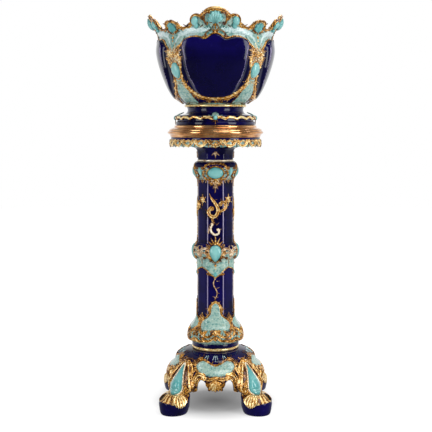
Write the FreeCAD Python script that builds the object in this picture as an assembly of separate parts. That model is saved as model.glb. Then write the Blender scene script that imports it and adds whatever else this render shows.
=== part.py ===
import FreeCAD, Part
import math
import os
from FreeCAD import Matrix, Rotation, Vector

os.makedirs("parts", exist_ok=True)

# Majolica jardiniere on a sectional pedestal stand, all sizes in mm.
# The axis is Z, the floor is z = 0, and one of the four like faces looks along -Y.

# Heights of the stacked sections, each one measured from the section below
base_height = 176.0
bedding_thickness = 1.5
base_ring_height = 9.0
column_height = 580.5
column_bead_height = 6.0
capital_height = 69.0
plate_height = 36.5
bowl_foot_height = 56.0
foot_bead_height = 7.0
bowl_height = 277.0

# Base: a domed shell with an arched apron
base_crown_radius = 74.0
base_shoulder_radius = 116.0
base_shoulder_drop = 17.0
base_waist_radius = 126.0
base_waist_drop = 38.0
base_apron_radius = 151.0
base_apron_drop = 76.0
base_tongue_radius = 141.0
base_tongue_drop = 107.0
base_wall = 12.0
crown_thickness = 13.0
arch_width = 29.0
arch_offset = 41.5
arch_top_drop = 69.0
apron_lift = 4.0
base_band_half_width = 60.0
base_band_lift = 3.5
base_rib_width = 6.0
base_rib_lift = 5.0

# Legs on the diagonals, with a turquoise drop on each knee
leg_top_reach = 104.0
leg_top_half_width = 20.0
leg_knee_reach = 142.0
leg_knee_depth = 28.0
leg_knee_half_width = 54.0
leg_knee_height = 84.0
leg_ankle_reach = 157.0
leg_ankle_radius = 28.0
drop_radius = 24.0
drop_top_radius = 5.0
drop_top_reach = 112.0
drop_top_height = 141.0
drop_bulb_reach = 160.0
drop_bulb_height = 80.0

# Feet: dished slippers under the legs
foot_reach = 178.0
foot_length = 100.0
foot_width = 90.0
foot_sole_inset = 8.0
foot_toe_height = 46.0
foot_dip_height = 37.0
foot_collar_height = 63.0
foot_seat_height = 40.0
toe_dish_radius = 34.0
toe_dish_depth = 9.0

# Gilt rings between the sections
base_ring_radius = 75.0
column_bead_radius = 57.0
column_bead_bore = 40.0

# Column: a hollow shaft of chamfered square section that swells a little downwards
shaft_top_half_width = 53.5
shaft_bottom_half_width = 56.5
shaft_face_share = 0.465
shaft_wall = 11.0
spray_height = 437.0
spray_lift = 4.0
spray_width = 9.0
vine_height = 180.0
vine_lift = 2.5
vine_width = 4.0
column_foot_radius = 86.0
column_foot_height = 66.0
column_foot_neck_radius = 73.0
wave_lift = 4.0

# Skirt of lobed panels above the column foot
skirt_bottom_half_width = 65.0
skirt_top_half_width = 57.5
skirt_height = 76.0
skirt_panel_half_width = 54.0
skirt_cover = 7.0

# Middle moulding and the drapery below it
mid_moulding_height = 302.0
mid_moulding_width = 46.0
mid_moulding_radius = 67.0
mid_edge_radius = 61.5
drape_drop = 50.0
drape_half_width = 46.0
drape_lift = 3.0
mid_gem_half_width = 19.0
mid_gem_half_height = 25.0
mid_gem_stand = 9.0

# Collar under the capital
collar_height = 553.0
collar_width = 52.0
collar_radius = 64.0
collar_edge_radius = 59.5
collar_gem_half_width = 25.0
collar_gem_half_height = 17.0
collar_gem_drop = 4.5
collar_gem_stand = 8.5
collar_frame_width = 6.0
collar_frame_lift = 3.0
collar_frame_gap = 0.3

# Capital and the gilt plate on it
capital_neck_radius = 55.5
capital_neck_height = 19.0
capital_flare_radius = 66.0
capital_frill_radius = 137.0
capital_frill_stand = 6.0
capital_frill_height = 21.0
capital_frill_lobes = 24
capital_band_radius = 139.0
capital_band_height = 8.0
capital_lobe_depth = 3.0
web_thickness = 14.0
nut_pocket_radius = 36.0
plate_edge_radius = 149.0
plate_under_radius = 140.0
plate_top_radius = 127.0
plate_top_band_height = 4.5
plate_edge_height = 23.0

# Tie rod that clamps the sections together
rod_diameter = 12.0
rod_hole_clearance = 1.0
rod_end_stand = 5.0
nut_width = 19.0
nut_height = 10.0
washer_radius = 20.0
washer_thickness = 3.0
pad_thickness = 3.0

# Foot of the jardiniere
foot_rim_radius = 124.0
foot_rim_height = 12.0
foot_groove_radius = 120.0
foot_band_radius = 124.5
foot_band_height = 13.0
foot_band_depth = 4.0
foot_neck_radius = 86.5
foot_neck_height = 42.0
foot_wall = 10.0
foot_bead_radius = 97.0
foot_gem_radius = 6.5
foot_gem_stand = 4.0

# Bowl
bowl_seat_radius = 93.0
bowl_belly_radius = 178.0
bowl_belly_height = 157.0
bowl_waist_radius = 175.5
bowl_waist_height = 209.0
bowl_lip_radius = 208.0
bowl_wall = 9.0
bowl_floor = 12.0
saddle_drop = 50.0
crest_half_width = 72.0
corner_crest_drop = 32.0
corner_fan_half_width = 34.0
corner_fan_height = 42.0
corner_fan_depth = 43.0

# Relief on the bowl
cushion_half_width = 104.0
cushion_bottom = 27.0
cushion_height = 172.0
cushion_lift = 7.0
frame_width = 11.0
frame_lift = 6.0
strap_lift = 2.5
strap_bottom = 8.0
strap_height = 200.0
strap_foot_half_width = 84.0
crest_lift = 5.0
crest_ribbon_width = 8.0
crest_shell_half_width = 21.0
crest_shell_half_height = 15.0
crest_shell_stand = 9.0
crest_shell_drop = 29.0
corner_gem_half_width = 15.0
corner_gem_half_height = 21.0
corner_gem_stand = 8.0
corner_gem_height = 102.0

# Levels of the stack, worked out from the heights
base_ring_z = base_height + bedding_thickness
column_z = base_ring_z + base_ring_height
column_top_z = column_z + column_height
column_bead_z = column_top_z + bedding_thickness
capital_z = column_bead_z + column_bead_height
plate_z = capital_z + capital_height
bowl_foot_z = plate_z + plate_height
foot_bead_z = bowl_foot_z + bowl_foot_height
bowl_z = foot_bead_z + foot_bead_height
bowl_top_z = bowl_z + bowl_height

faces = 4
quarter = 360.0 / faces
axis_up = Vector(0, 0, 1)
far = 400.0


def save(name, shapes):
    """Write one node, a solid or a group of separate solids."""
    solids = []
    for shape in shapes if isinstance(shapes, list) else [shapes]:
        solids.extend(shape.Solids)
    whole = solids[0] if len(solids) == 1 else Part.makeCompound(solids)
    for solid in solids:
        if not solid.isValid():
            print("not valid:", name)
    whole.exportStep("parts/" + name + ".step")
    print("%-28s %2d solids" % (name, len(solids)))


def turned(shape, angle):
    """A copy turned about the axis, counter-clockwise from above."""
    copy = shape.copy()
    copy.rotate(Vector(0, 0, 0), axis_up, angle)
    return copy


def all_round(shape, start=0.0):
    """Four copies, one on each face or diagonal."""
    return [turned(shape, start + quarter * i) for i in range(faces)]


def curve(points, closed=False):
    """A smooth edge through the points."""
    line = Part.BSplineCurve()
    line.interpolate(Points=[Vector(*p) for p in points], PeriodicFlag=closed)
    return line.toShape()


def path_rz(points, smooth):
    """Edge or edges through (radius, height) points."""
    spots = [(r, 0, z) for r, z in points]
    if smooth:
        return [curve(spots)]
    return [Part.makeLine(Vector(*a), Vector(*b)) for a, b in zip(spots, spots[1:])]


def revolve(*runs):
    """Turn a closed section about Z. Each run is (points, smooth) and starts where the last ended."""
    edges = []
    for points, smooth in runs:
        edges += path_rz(points, smooth)
    first, last = runs[0][0][0], runs[-1][0][-1]
    if math.hypot(first[0] - last[0], first[1] - last[1]) > 1e-6:
        edges += path_rz([last, first], False)
    return Part.Face(Part.Wire(edges)).revolve(Vector(0, 0, 0), axis_up, 360)


def pushed(points, distance):
    """Profile points moved square to the profile, outwards when distance is positive."""
    moved = []
    for i, (r, z) in enumerate(points):
        before = points[max(i - 1, 0)]
        after = points[min(i + 1, len(points) - 1)]
        dr, dz = after[0] - before[0], after[1] - before[1]
        length = math.hypot(dr, dz)
        moved.append((r + distance * dz / length, z - distance * dr / length))
    return moved


def body_under(points, smooth=True):
    """Full solid between the axis and a profile that runs upwards."""
    (r0, z0), (r1, z1) = points[0], points[-1]
    return revolve(([(0, z0), (r0, z0)], False), (points, smooth), ([(r1, z1), (0, z1)], False))


def skin(points, lift):
    """Layer of even thickness on the outside of a turned profile."""
    outer = pushed(points, lift)
    return revolve(([points[0], outer[0]], False), (outer, True), ([outer[-1], points[-1]], False),
                   (points[::-1], True))


def outline_face(points):
    """Face in the front view (x, z) inside a smooth closed outline."""
    return Part.Face(Part.Wire([curve([(x, 0, z) for x, z in points], True)]))


def mirrored(points):
    """Closed outline from its right half, listed from one end on the centre line to the other."""
    left = [(-x, z) for x, z in points[::-1] if x > 1e-6]
    return points + left


def front_prism(face):
    """The face carried from the axis plane towards the front."""
    return face.extrude(Vector(0, -far, 0))


def placed(points, width, height, bottom):
    """Outline given as shares of its half width and height, at its real size and place."""
    return [(x * width, bottom + z * height) for x, z in points]


def grown(points, distance):
    """Closed outline moved outwards, for outlines listed counter-clockwise in the front view."""
    count = len(points)
    moved = []
    for i, (x, z) in enumerate(points):
        before, after = points[i - 1], points[(i + 1) % count]
        dx, dz = after[0] - before[0], after[1] - before[1]
        length = math.hypot(dx, dz)
        moved.append((x + distance * dz / length, z - distance * dx / length))
    return moved


def gem(half_width, half_height, stand, radius, z, lean=0.0):
    """Domed oval stone on the front face, its centre at the given radius."""
    scale = Matrix()
    scale.scale(half_width, stand, half_height)
    stone = Part.makeSphere(1.0).transformGeometry(scale)
    stone.rotate(Vector(0, 0, 0), Vector(1, 0, 0), lean)
    stone.translate(Vector(0, -radius, z))
    return stone


def ribbon(points, widths):
    """Closed outline round a path, with a width at each of its points and round ends."""
    left, right = [], []
    for i, (x, z) in enumerate(points):
        before, after = points[max(i - 1, 0)], points[min(i + 1, len(points) - 1)]
        dx, dz = after[0] - before[0], after[1] - before[1]
        length = math.hypot(dx, dz)
        half = widths[i] / 2
        left.append((x - half * dz / length, z + half * dx / length))
        right.append((x + half * dz / length, z - half * dx / length))
    (xa, za), (xb, zb) = points[0], points[1]
    start = (xa - 0.5 * widths[0] * (xb - xa) / math.hypot(xb - xa, zb - za),
             za - 0.5 * widths[0] * (zb - za) / math.hypot(xb - xa, zb - za))
    (xa, za), (xb, zb) = points[-1], points[-2]
    end = (xa - 0.5 * widths[-1] * (xb - xa) / math.hypot(xb - xa, zb - za),
           za - 0.5 * widths[-1] * (zb - za) / math.hypot(xb - xa, zb - za))
    return [start] + right + [end] + left[::-1]


def disc(radius, height, z, bore=0.0):
    """Plain turned disc, with a bore when one is given."""
    solid = Part.makeCylinder(radius, height, Vector(0, 0, z))
    if bore:
        solid = solid.cut(Part.makeCylinder(bore, height, Vector(0, 0, z)))
    return solid


def profile_point(points, z):
    """Radius at a height on a smooth turned profile, and the angle by which it faces downwards there."""
    line = Part.BSplineCurve()
    line.interpolate(Points=[Vector(r, 0, h) for r, h in points])
    low, high = line.FirstParameter, line.LastParameter
    for _ in range(40):
        middle = 0.5 * (low + high)
        if line.value(middle).z < z:
            low = middle
        else:
            high = middle
    along = line.tangent(low)[0]
    return line.value(low).x, math.degrees(math.atan2(along.x, along.z))


def ellipse_wire(centre, length, width, z):
    """Level oval on the front-left diagonal's own axis, which is +X here."""
    oval = Part.Ellipse(Vector(centre, 0, z), max(length, width), min(length, width))
    edge = oval.toShape()
    if width > length:
        edge.rotate(Vector(centre, 0, z), axis_up, 90)
    return Part.Wire([edge])


# ---------------------------------------------------------------- base
base_profile = [
    (base_tongue_radius, base_height - base_tongue_drop),
    (base_apron_radius, base_height - base_apron_drop),
    (0.5 * (base_apron_radius + base_waist_radius) + 3, base_height - 0.5 * (base_apron_drop + base_waist_drop)),
    (base_waist_radius, base_height - base_waist_drop),
    (base_shoulder_radius, base_height - base_shoulder_drop),
    (0.55 * base_shoulder_radius + 0.45 * base_crown_radius, base_height - 0.42 * base_shoulder_drop),
    (base_crown_radius, base_height)]
base_hollow_profile = pushed(base_profile, -base_wall)
hollow_top = base_height - crown_thickness
base_hollow_profile = [p for p in base_hollow_profile if p[1] < hollow_top - 2] + [
    (base_shoulder_radius - 2.2 * base_wall, hollow_top)]
base_hollow_profile[0] = (base_tongue_radius - base_wall, base_height - base_tongue_drop)
base_body = body_under(base_profile)
rod_hole = rod_diameter / 2 + rod_hole_clearance
stand_base = base_body.cut(body_under(base_hollow_profile))
stand_base = stand_base.cut(Part.makeCylinder(rod_hole, base_height))
arch_top_z = base_height - arch_top_drop
arch_face = outline_face([
    (arch_offset - arch_width / 2, 0), (arch_offset - arch_width / 2, arch_top_z - arch_width),
    (arch_offset - arch_width * 0.36, arch_top_z - arch_width * 0.22), (arch_offset, arch_top_z),
    (arch_offset + arch_width * 0.38, arch_top_z - arch_width * 0.25),
    (arch_offset + arch_width / 2, arch_top_z - arch_width), (arch_offset + arch_width / 2, 0),
    (arch_offset, -arch_width)])
arch = front_prism(arch_face)
arches = []
for cutter in all_round(arch):
    arches.append(cutter)
    arches.append(cutter.mirror(Vector(0, 0, 0), Vector(1, 0, 0)))
stand_base = stand_base.cut(arches)
save("stand_base", stand_base)

# ---------------------------------------------------------------- legs and feet
diagonals = {"front_left": -135.0, "front_right": -45.0, "back_right": 45.0, "back_left": 135.0}
leg_sections = [
    (leg_ankle_reach, leg_ankle_radius, leg_ankle_radius, foot_seat_height),
    (leg_ankle_reach, 0.96 * leg_ankle_radius, leg_ankle_radius, foot_seat_height + 18),
    (leg_knee_reach + 4, leg_knee_depth, 0.85 * leg_knee_half_width, leg_knee_height - 14),
    (leg_knee_reach, leg_knee_depth, leg_knee_half_width, leg_knee_height),
    (leg_knee_reach - 10, leg_knee_depth, 0.92 * leg_knee_half_width, leg_knee_height + 20),
    (0.5 * (leg_top_reach + leg_knee_reach), 0.9 * leg_knee_depth, 0.62 * leg_knee_half_width, leg_knee_height + 46),
    (leg_top_reach, 0.6 * leg_knee_depth, leg_top_half_width, base_height - 0.9 * base_shoulder_drop)]
leg_body = Part.makeLoft([ellipse_wire(*section) for section in leg_sections], True, False)
leg = leg_body.cut(base_body)


def drop_body():
    """Tear shaped boss down the outer face of a leg, round about a leaning axis."""
    length = math.hypot(drop_bulb_reach - drop_top_reach, drop_top_height - drop_bulb_height)
    lean = math.degrees(math.atan2(drop_bulb_reach - drop_top_reach, drop_top_height - drop_bulb_height))
    tear = [(0, -drop_radius), (0.72 * drop_radius, -0.7 * drop_radius), (drop_radius, 0),
            (0.78 * drop_radius, 0.42 * length), (0.42 * drop_radius, 0.8 * length),
            (drop_top_radius * 0.7, length + 2), (0, length + drop_top_radius)]
    solid = revolve((tear, True))
    solid.rotate(Vector(0, 0, 0), Vector(0, 1, 0), -lean)
    solid.translate(Vector(drop_bulb_reach, 0, drop_bulb_height))
    return solid


leg_drop = drop_body().cut([leg_body, base_body])
foot_sections = [
    (foot_reach + 2, foot_length / 2 - foot_sole_inset, foot_width / 2 - foot_sole_inset, 0),
    (foot_reach + 2, foot_length / 2 - 0.4 * foot_sole_inset, foot_width / 2 - 0.45 * foot_sole_inset, 12),
    (foot_reach, foot_length / 2, foot_width / 2, 0.85 * foot_toe_height),
    (foot_reach - 3, foot_length / 2 + 1, foot_width / 2 - 2, foot_collar_height)]
shoe = Part.makeLoft([ellipse_wire(*section) for section in foot_sections], True, False)
toe_end = foot_reach + foot_length / 2
heel_end = foot_reach - foot_length / 2
side_line = [
    (toe_end + 10, foot_toe_height), (toe_end - 8, foot_toe_height),
    (toe_end - 24, 0.5 * (foot_toe_height + foot_dip_height)), (foot_reach + 9, foot_dip_height),
    (foot_reach - 6, foot_dip_height + 6), (foot_reach - 22, foot_toe_height + 3),
    (heel_end + 16, foot_collar_height - 6), (heel_end, foot_collar_height), (heel_end - 10, foot_collar_height)]
top_cut_edges = [curve([(x, -far / 2, z) for x, z in side_line])]
top_cut_ring = [(heel_end - 10, foot_collar_height), (heel_end - 10, foot_collar_height + 30),
                (toe_end + 10, foot_collar_height + 30), (toe_end + 10, foot_toe_height)]
for a, b in zip(top_cut_ring, top_cut_ring[1:]):
    top_cut_edges.append(Part.makeLine(Vector(a[0], -far / 2, a[1]), Vector(b[0], -far / 2, b[1])))
top_cut = Part.Face(Part.Wire(top_cut_edges)).extrude(Vector(0, far, 0))
toe_dish = Part.makeSphere(toe_dish_radius, Vector(
    toe_end - 25, 0, foot_toe_height - toe_dish_depth + toe_dish_radius))
shoe = shoe.cut([top_cut, toe_dish, leg_body])

for name, angle in diagonals.items():
    save("leg_" + name, turned(leg, angle))
    save("foot_" + name, turned(shoe, angle))
save("leg_drops", [turned(leg_drop, angle) for angle in diagonals.values()])

# Pendant shells in the middle of each side of the apron, and scrolls along its edge
base_skin = skin(base_profile, apron_lift)
pendant_outline = mirrored([
    (0, base_height - base_tongue_drop), (14, base_height - base_tongue_drop + 2),
    (24, base_height - base_tongue_drop + 12), (arch_offset - arch_width / 2 - 1, arch_top_z - 20),
    (arch_offset - arch_width / 2 + 2, arch_top_z - 4), (16, arch_top_z + 2), (0, arch_top_z - 6)])
pendant = base_skin.common(front_prism(outline_face(pendant_outline)))
save("apron_shells", all_round(pendant))
scroll_outline = [
    (arch_offset + arch_width / 2 + 1, base_height - base_tongue_drop + 2),
    (arch_offset + arch_width / 2 + 1.5, arch_top_z - 16), (arch_offset + 7, arch_top_z + 1.5),
    (arch_offset - 8, arch_top_z + 2), (arch_offset - 22, arch_top_z + 4), (arch_offset - 24, arch_top_z + 10),
    (arch_offset - 6, arch_top_z + 13), (arch_offset + 14, arch_top_z + 20), (arch_offset + 30, arch_top_z + 14),
    (arch_offset + 34, arch_top_z - 10), (arch_offset + 29, base_height - base_tongue_drop + 3)]
scroll_block = front_prism(outline_face(scroll_outline))
scroll = base_skin.common(scroll_block)
scroll = scroll.cut(turned(leg_body, diagonals["front_right"]))

# Mottled bands on the shoulder above the scrolls, each under a gilt rib
near_legs = [turned(leg_body, diagonals[name]) for name in ("front_left", "front_right")]
band_width = base_band_half_width
rib_line = [(0, 29.0), (0.18 * band_width, 26.2), (0.38 * band_width, 20.2), (0.55 * band_width, 16.8),
            (0.73 * band_width, 17.4), (0.9 * band_width, 23.5), (band_width, 30.0)]
rib_line = [(x, base_height - drop) for x, drop in rib_line]
rib_line = [(-x, z) for x, z in rib_line[:0:-1]] + rib_line
rib_block = front_prism(outline_face(ribbon(rib_line, [base_rib_width] * len(rib_line))))
rib = skin(base_profile, base_rib_lift).common(rib_block).cut(near_legs)
band_outline = [(0, 59.0), (0.23 * band_width, 59.0), (0.5 * band_width, 57.0), (0.73 * band_width, 53.0),
                (0.92 * band_width, 46.0), (band_width, 34.0), (0.9 * band_width, 23.5), (0.73 * band_width, 17.4),
                (0.55 * band_width, 16.8), (0.38 * band_width, 20.2), (0.18 * band_width, 26.2), (0, 29.0)]
band_outline = mirrored([(x, base_height - drop) for x, drop in band_outline])
band = skin(base_profile, base_band_lift).common(front_prism(outline_face(band_outline)))
band = band.cut([rib_block, scroll_block, scroll_block.mirror(Vector(0, 0, 0), Vector(1, 0, 0))] + near_legs)
save("base_bands", all_round(band))
save("apron_scrolls", all_round(scroll) + all_round(scroll.mirror(Vector(0, 0, 0), Vector(1, 0, 0))) + all_round(rib))

# ---------------------------------------------------------------- gilt rings and bedding
bedding_radius = base_crown_radius - 5
save("base_bedding", disc(bedding_radius, bedding_thickness, base_height, column_bead_bore))


def bead_ring(radius, height, z, bore):
    """Gilt ring with a rounded edge between flat beds."""
    edge = [(radius - 0.45 * height, z), (radius - 0.1 * height, z + 0.18 * height), (radius, z + 0.5 * height),
            (radius - 0.1 * height, z + 0.82 * height), (radius - 0.45 * height, z + height)]
    return revolve(([(bore, z + height), (bore, z), edge[0]], False), (edge, True))


save("base_ring", bead_ring(base_ring_radius, base_ring_height, base_ring_z, column_bead_bore))
save("capital_bedding", disc(column_bead_radius - 6, bedding_thickness, column_top_z, column_bead_bore))
save("column_bead", bead_ring(column_bead_radius, column_bead_height, column_bead_z, column_bead_bore))

# ---------------------------------------------------------------- column


def chamfered_square(half_width, z):
    """Level outline of the shaft: four wide faces and four narrower ones on the diagonals."""
    half_face = half_width * shaft_face_share
    corners = []
    for i in range(faces):
        for x in (-half_face, half_face):
            corners.append(Vector(x, -half_width, z))
            corners[-1] = Rotation(axis_up, quarter * i).multVec(corners[-1])
    return Part.makePolygon(corners + corners[:1])


def shaft_like(bottom_half, top_half, bottom_z, top_z):
    """Tapered solid of the shaft's section."""
    return Part.makeLoft([chamfered_square(bottom_half, bottom_z), chamfered_square(top_half, top_z)], True, True)


shaft_body = shaft_like(shaft_bottom_half_width, shaft_top_half_width, column_z, column_top_z)
shaft_bore = shaft_like(shaft_bottom_half_width - shaft_wall, shaft_top_half_width - shaft_wall, column_z, column_top_z)
save("column_shaft", shaft_body.cut(shaft_bore))

column_foot_profile = [
    (column_foot_neck_radius, column_z), (column_foot_neck_radius, column_z + 0.2 * column_foot_height),
    (0.965 * column_foot_radius, column_z + 0.34 * column_foot_height),
    (column_foot_radius, column_z + 0.5 * column_foot_height),
    (0.965 * column_foot_radius, column_z + 0.74 * column_foot_height),
    (skirt_bottom_half_width + 6, column_z + column_foot_height)]
column_foot_body = body_under(column_foot_profile)
save("column_foot", column_foot_body.cut(shaft_body))

# Lobed panels rising from the column foot, one on each face
skirt_z = column_z + column_foot_height
skirt_top_z = skirt_z + skirt_height
sleeve = shaft_like(skirt_bottom_half_width, skirt_top_half_width, skirt_z, skirt_top_z)
skirt_shape = mirrored([(0, 0), (0.6, 0), (1.0, 0.05), (0.97, 0.17), (0.62, 0.26), (0.55, 0.42), (0.4, 0.62),
                        (0.16, 0.86), (0, 1.0)])
skirt_outline = placed(skirt_shape, skirt_panel_half_width, skirt_height, skirt_z)
skirt_panel = sleeve.cut(shaft_body).common(front_prism(outline_face(skirt_outline)))
save("skirt_panels", all_round(skirt_panel))

column_foot_skin = skin(column_foot_profile, wave_lift)
wave_outline = mirrored([(0, 0.36), (0.35, 0.5), (0.75, 0.28), (1.0, 0.5), (1.05, 0.8), (0.75, 0.98), (0.3, 0.9),
                         (0, 1.04)])
wave = column_foot_skin.common(front_prism(outline_face(placed(
    wave_outline, 0.62 * column_foot_radius, column_foot_height, column_z))))
save("column_foot_scrolls", all_round(wave))

# Middle moulding, drapery, stones and leaves
mid_z = column_z + mid_moulding_height


def moulding_profile(z, width, radius, edge_radius):
    """Rounded band round the shaft."""
    return [(edge_radius, z - width / 2), (0.35 * edge_radius + 0.65 * radius, z - 0.3 * width), (radius, z),
            (0.35 * edge_radius + 0.65 * radius, z + 0.3 * width), (edge_radius, z + width / 2)]


mid_profile = moulding_profile(mid_z, mid_moulding_width, mid_moulding_radius, mid_edge_radius)
mid_body = body_under(mid_profile)
save("mid_moulding", mid_body.cut(shaft_body))
drape_outline = mirrored([(0, -1.0), (0.3, -0.86), (0.62, -0.42), (1.1, -0.3), (1.1, 0.3), (0, 0.3)])
drape_sleeve = shaft_like(shaft_bottom_half_width + drape_lift, shaft_top_half_width + drape_lift, column_z, column_top_z)
drape_face = outline_face(placed(drape_outline, drape_half_width, drape_drop, mid_z - mid_moulding_width / 2))
drape = drape_sleeve.cut([shaft_body, mid_body]).common(front_prism(drape_face))
save("mid_drapes", all_round(drape))
mid_gem = gem(mid_gem_half_width, mid_gem_half_height, mid_gem_stand, mid_moulding_radius, mid_z)
mid_gem = mid_gem.cut(mid_body).cut(shaft_body)
save("mid_gems", all_round(mid_gem))

collar_z = column_z + collar_height
collar_profile = moulding_profile(collar_z, collar_width, collar_radius, collar_edge_radius)
collar_body = body_under(collar_profile)
save("upper_collar", collar_body.cut(shaft_body))
collar_gem = gem(collar_gem_half_width, collar_gem_half_height, collar_gem_stand, collar_radius,
                 collar_z - collar_gem_drop)
collar_gem = collar_gem.cut(collar_body)
save("upper_gems", all_round(collar_gem))



def oval(half_width, half_height, z, points=16):
    """Closed oval outline in the front view, listed counter-clockwise."""
    turns = [2 * math.pi * i / points for i in range(points)]
    return [(half_width * math.cos(turn), z + half_height * math.sin(turn)) for turn in turns]


# Gilt frame of each collar stone
stone_outline = oval(collar_gem_half_width, collar_gem_half_height, collar_z - collar_gem_drop)
collar_frame_face = outline_face(grown(stone_outline, collar_frame_width))
collar_frame_face = collar_frame_face.cut(outline_face(grown(stone_outline, collar_frame_gap)))
collar_frame = skin(collar_profile, collar_frame_lift).common(front_prism(collar_frame_face))
save("upper_frames", all_round(collar_frame))

# Sprays of scrolls on the shaft between the moulding and the collar, and a vine below the drapery.
# Paths are (sideways, up) from the middle of the spray or the vine, with a share of the full width at each point.
spray_paths = [
    ([(-17, 36), (-8, 25), (2, 11), (5, -5), (-2, -21), (-14, -27), (-24, -20), (-25, -7)],
     [0.4, 0.7, 1.0, 1.1, 1.1, 1.1, 0.9, 0.6]),
    ([(6, -9), (13, -11), (22, -11), (31, -3), (32, 9), (24, 16), (15, 13)], [0.6, 0.9, 1.0, 1.0, 1.0, 0.8, 0.5]),
    ([(31, 12), (38, 19), (44, 26)], [0.7, 0.6, 0.3])]
vine_paths = [
    ([(0, 39), (-6, 28), (-5, 16), (1, 6), (5, -4), (4, -15), (-1, -24), (0, -32)],
     [0.7, 1.0, 1.0, 1.0, 1.0, 1.0, 0.8, 0.5])]


def shaft_relief(paths, width, lift, height):
    """Raised ribbons on the front face of the shaft, joined where they touch."""
    sleeve = shaft_like(shaft_bottom_half_width + lift, shaft_top_half_width + lift, column_z, column_top_z)
    layer = sleeve.cut(shaft_body)
    pieces = []
    for points, shares in paths:
        line = [(x, column_z + height + z) for x, z in points]
        pieces.append(layer.common(front_prism(outline_face(ribbon(line, [width * share for share in shares])))))
    return pieces[0].fuse(pieces[1:]) if len(pieces) > 1 else pieces[0]


save("shaft_scrolls", all_round(shaft_relief(spray_paths, spray_width, spray_lift, spray_height)))
save("shaft_vines", all_round(shaft_relief(vine_paths, vine_width, vine_lift, vine_height)))

# ---------------------------------------------------------------- capital
capital_top_z = capital_z + capital_height
frill_bottom_z = capital_top_z - capital_band_height - capital_frill_height
capital_profile = [
    (capital_neck_radius, capital_z), (capital_neck_radius, capital_z + capital_neck_height),
    (capital_neck_radius + 3, capital_z + capital_neck_height + 8),
    (capital_flare_radius, frill_bottom_z - 5), (0.5 * (capital_flare_radius + capital_frill_radius), frill_bottom_z - 1),
    (capital_frill_radius - 3, frill_bottom_z)]
capital_rim = [(capital_frill_radius, frill_bottom_z + 3), (capital_frill_radius, capital_top_z - capital_band_height),
               (capital_band_radius, capital_top_z - capital_band_height + 2), (capital_band_radius, capital_top_z)]
web_top_z = capital_z + web_thickness
capital = revolve(
    ([(rod_hole, web_top_z), (rod_hole, capital_z), capital_profile[0]], False), (capital_profile, True),
    ([capital_profile[-1]] + capital_rim, False),
    ([capital_rim[-1], (nut_pocket_radius, capital_top_z), (nut_pocket_radius, web_top_z)], False))
save("capital", capital)


def lobed_ring(radius, depth, lobes, bottom, height, bore):
    """Flat ring with an edge of round lobes."""
    points = []
    for i in range(2 * lobes):
        angle = math.pi * i / lobes
        reach = radius - (depth if i % 2 else 0.0)
        points.append((reach * math.cos(angle), reach * math.sin(angle), bottom))
    face = Part.Face(Part.Wire([curve(points, True)]))
    return face.extrude(Vector(0, 0, height)).cut(Part.makeCylinder(bore, height, Vector(0, 0, bottom)))


frill = lobed_ring(capital_frill_radius + capital_frill_stand, capital_lobe_depth, capital_frill_lobes,
                   frill_bottom_z + 3, capital_frill_height - 3, capital_frill_radius)
save("capital_frill", frill)

# ---------------------------------------------------------------- top plate
plate_top_z = plate_z + plate_height
edge_z = plate_top_z - plate_edge_height
plate_moulding = [
    (plate_under_radius, plate_z), (plate_under_radius + 2, plate_z + 5), (plate_edge_radius - 5, plate_z + 9),
    (plate_edge_radius, edge_z), (plate_edge_radius, edge_z + 4), (plate_edge_radius - 5, edge_z + 10),
    (0.5 * (plate_edge_radius + plate_top_radius), plate_top_z - plate_top_band_height - 3),
    (plate_top_radius, plate_top_z - plate_top_band_height), (plate_top_radius, plate_top_z)]
plate = revolve(([(0, plate_z)] + plate_moulding + [(0, plate_top_z)], False))
save("top_plate", plate)

# ---------------------------------------------------------------- tie rod and its fastenings
crown_under_z = base_height - crown_thickness
lower_pad_z = crown_under_z - pad_thickness
lower_washer_z = lower_pad_z - washer_thickness
lower_nut_z = lower_washer_z - nut_height
upper_washer_z = web_top_z + pad_thickness
upper_nut_z = upper_washer_z + washer_thickness
rod_radius = rod_diameter / 2
rod_z = lower_nut_z - rod_end_stand
rod_length = upper_nut_z + nut_height + rod_end_stand - rod_z
save("tie_rod", Part.makeCylinder(rod_radius, rod_length, Vector(0, 0, rod_z)))
for name, pad_z, washer_z, nut_z in (("lower", lower_pad_z, lower_washer_z, lower_nut_z),
                                     ("upper", web_top_z, upper_washer_z, upper_nut_z)):
    save(name + "_leather_pad", disc(washer_radius, pad_thickness, pad_z, rod_radius))
    save(name + "_washer", disc(washer_radius, washer_thickness, washer_z, rod_radius))
    corner_radius = nut_width / math.sqrt(3)
    corners = [Vector(corner_radius * math.cos(math.pi * i / 3), corner_radius * math.sin(math.pi * i / 3), nut_z)
               for i in range(7)]
    nut = Part.Face(Part.makePolygon(corners)).extrude(Vector(0, 0, nut_height))
    save(name + "_nut", nut.cut(Part.makeCylinder(rod_radius, nut_height, Vector(0, 0, nut_z))))

# ---------------------------------------------------------------- foot of the jardiniere
band_z = bowl_foot_z + foot_rim_height + 4
foot_outer = [
    (foot_rim_radius - 2, bowl_foot_z), (foot_rim_radius, bowl_foot_z + 3),
    (foot_rim_radius, bowl_foot_z + foot_rim_height - 2), (foot_groove_radius, bowl_foot_z + foot_rim_height),
    (foot_groove_radius, band_z + foot_band_height)]
foot_flare = [
    (foot_groove_radius, band_z + foot_band_height), (foot_groove_radius - 16, band_z + foot_band_height + 3.5),
    (foot_neck_radius + 6, bowl_foot_z + foot_neck_height - 6), (foot_neck_radius, bowl_foot_z + foot_neck_height + 2),
    (foot_neck_radius + 2, foot_bead_z)]
foot_inner_top = foot_bead_z - foot_wall
foot_inner = [
    (0, foot_inner_top), (foot_neck_radius - foot_wall - 3, foot_inner_top),
    (foot_neck_radius - foot_wall, bowl_foot_z + foot_neck_height - 10),
    (foot_groove_radius - foot_wall, band_z + 4), (foot_groove_radius - foot_wall, bowl_foot_z)]
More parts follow.
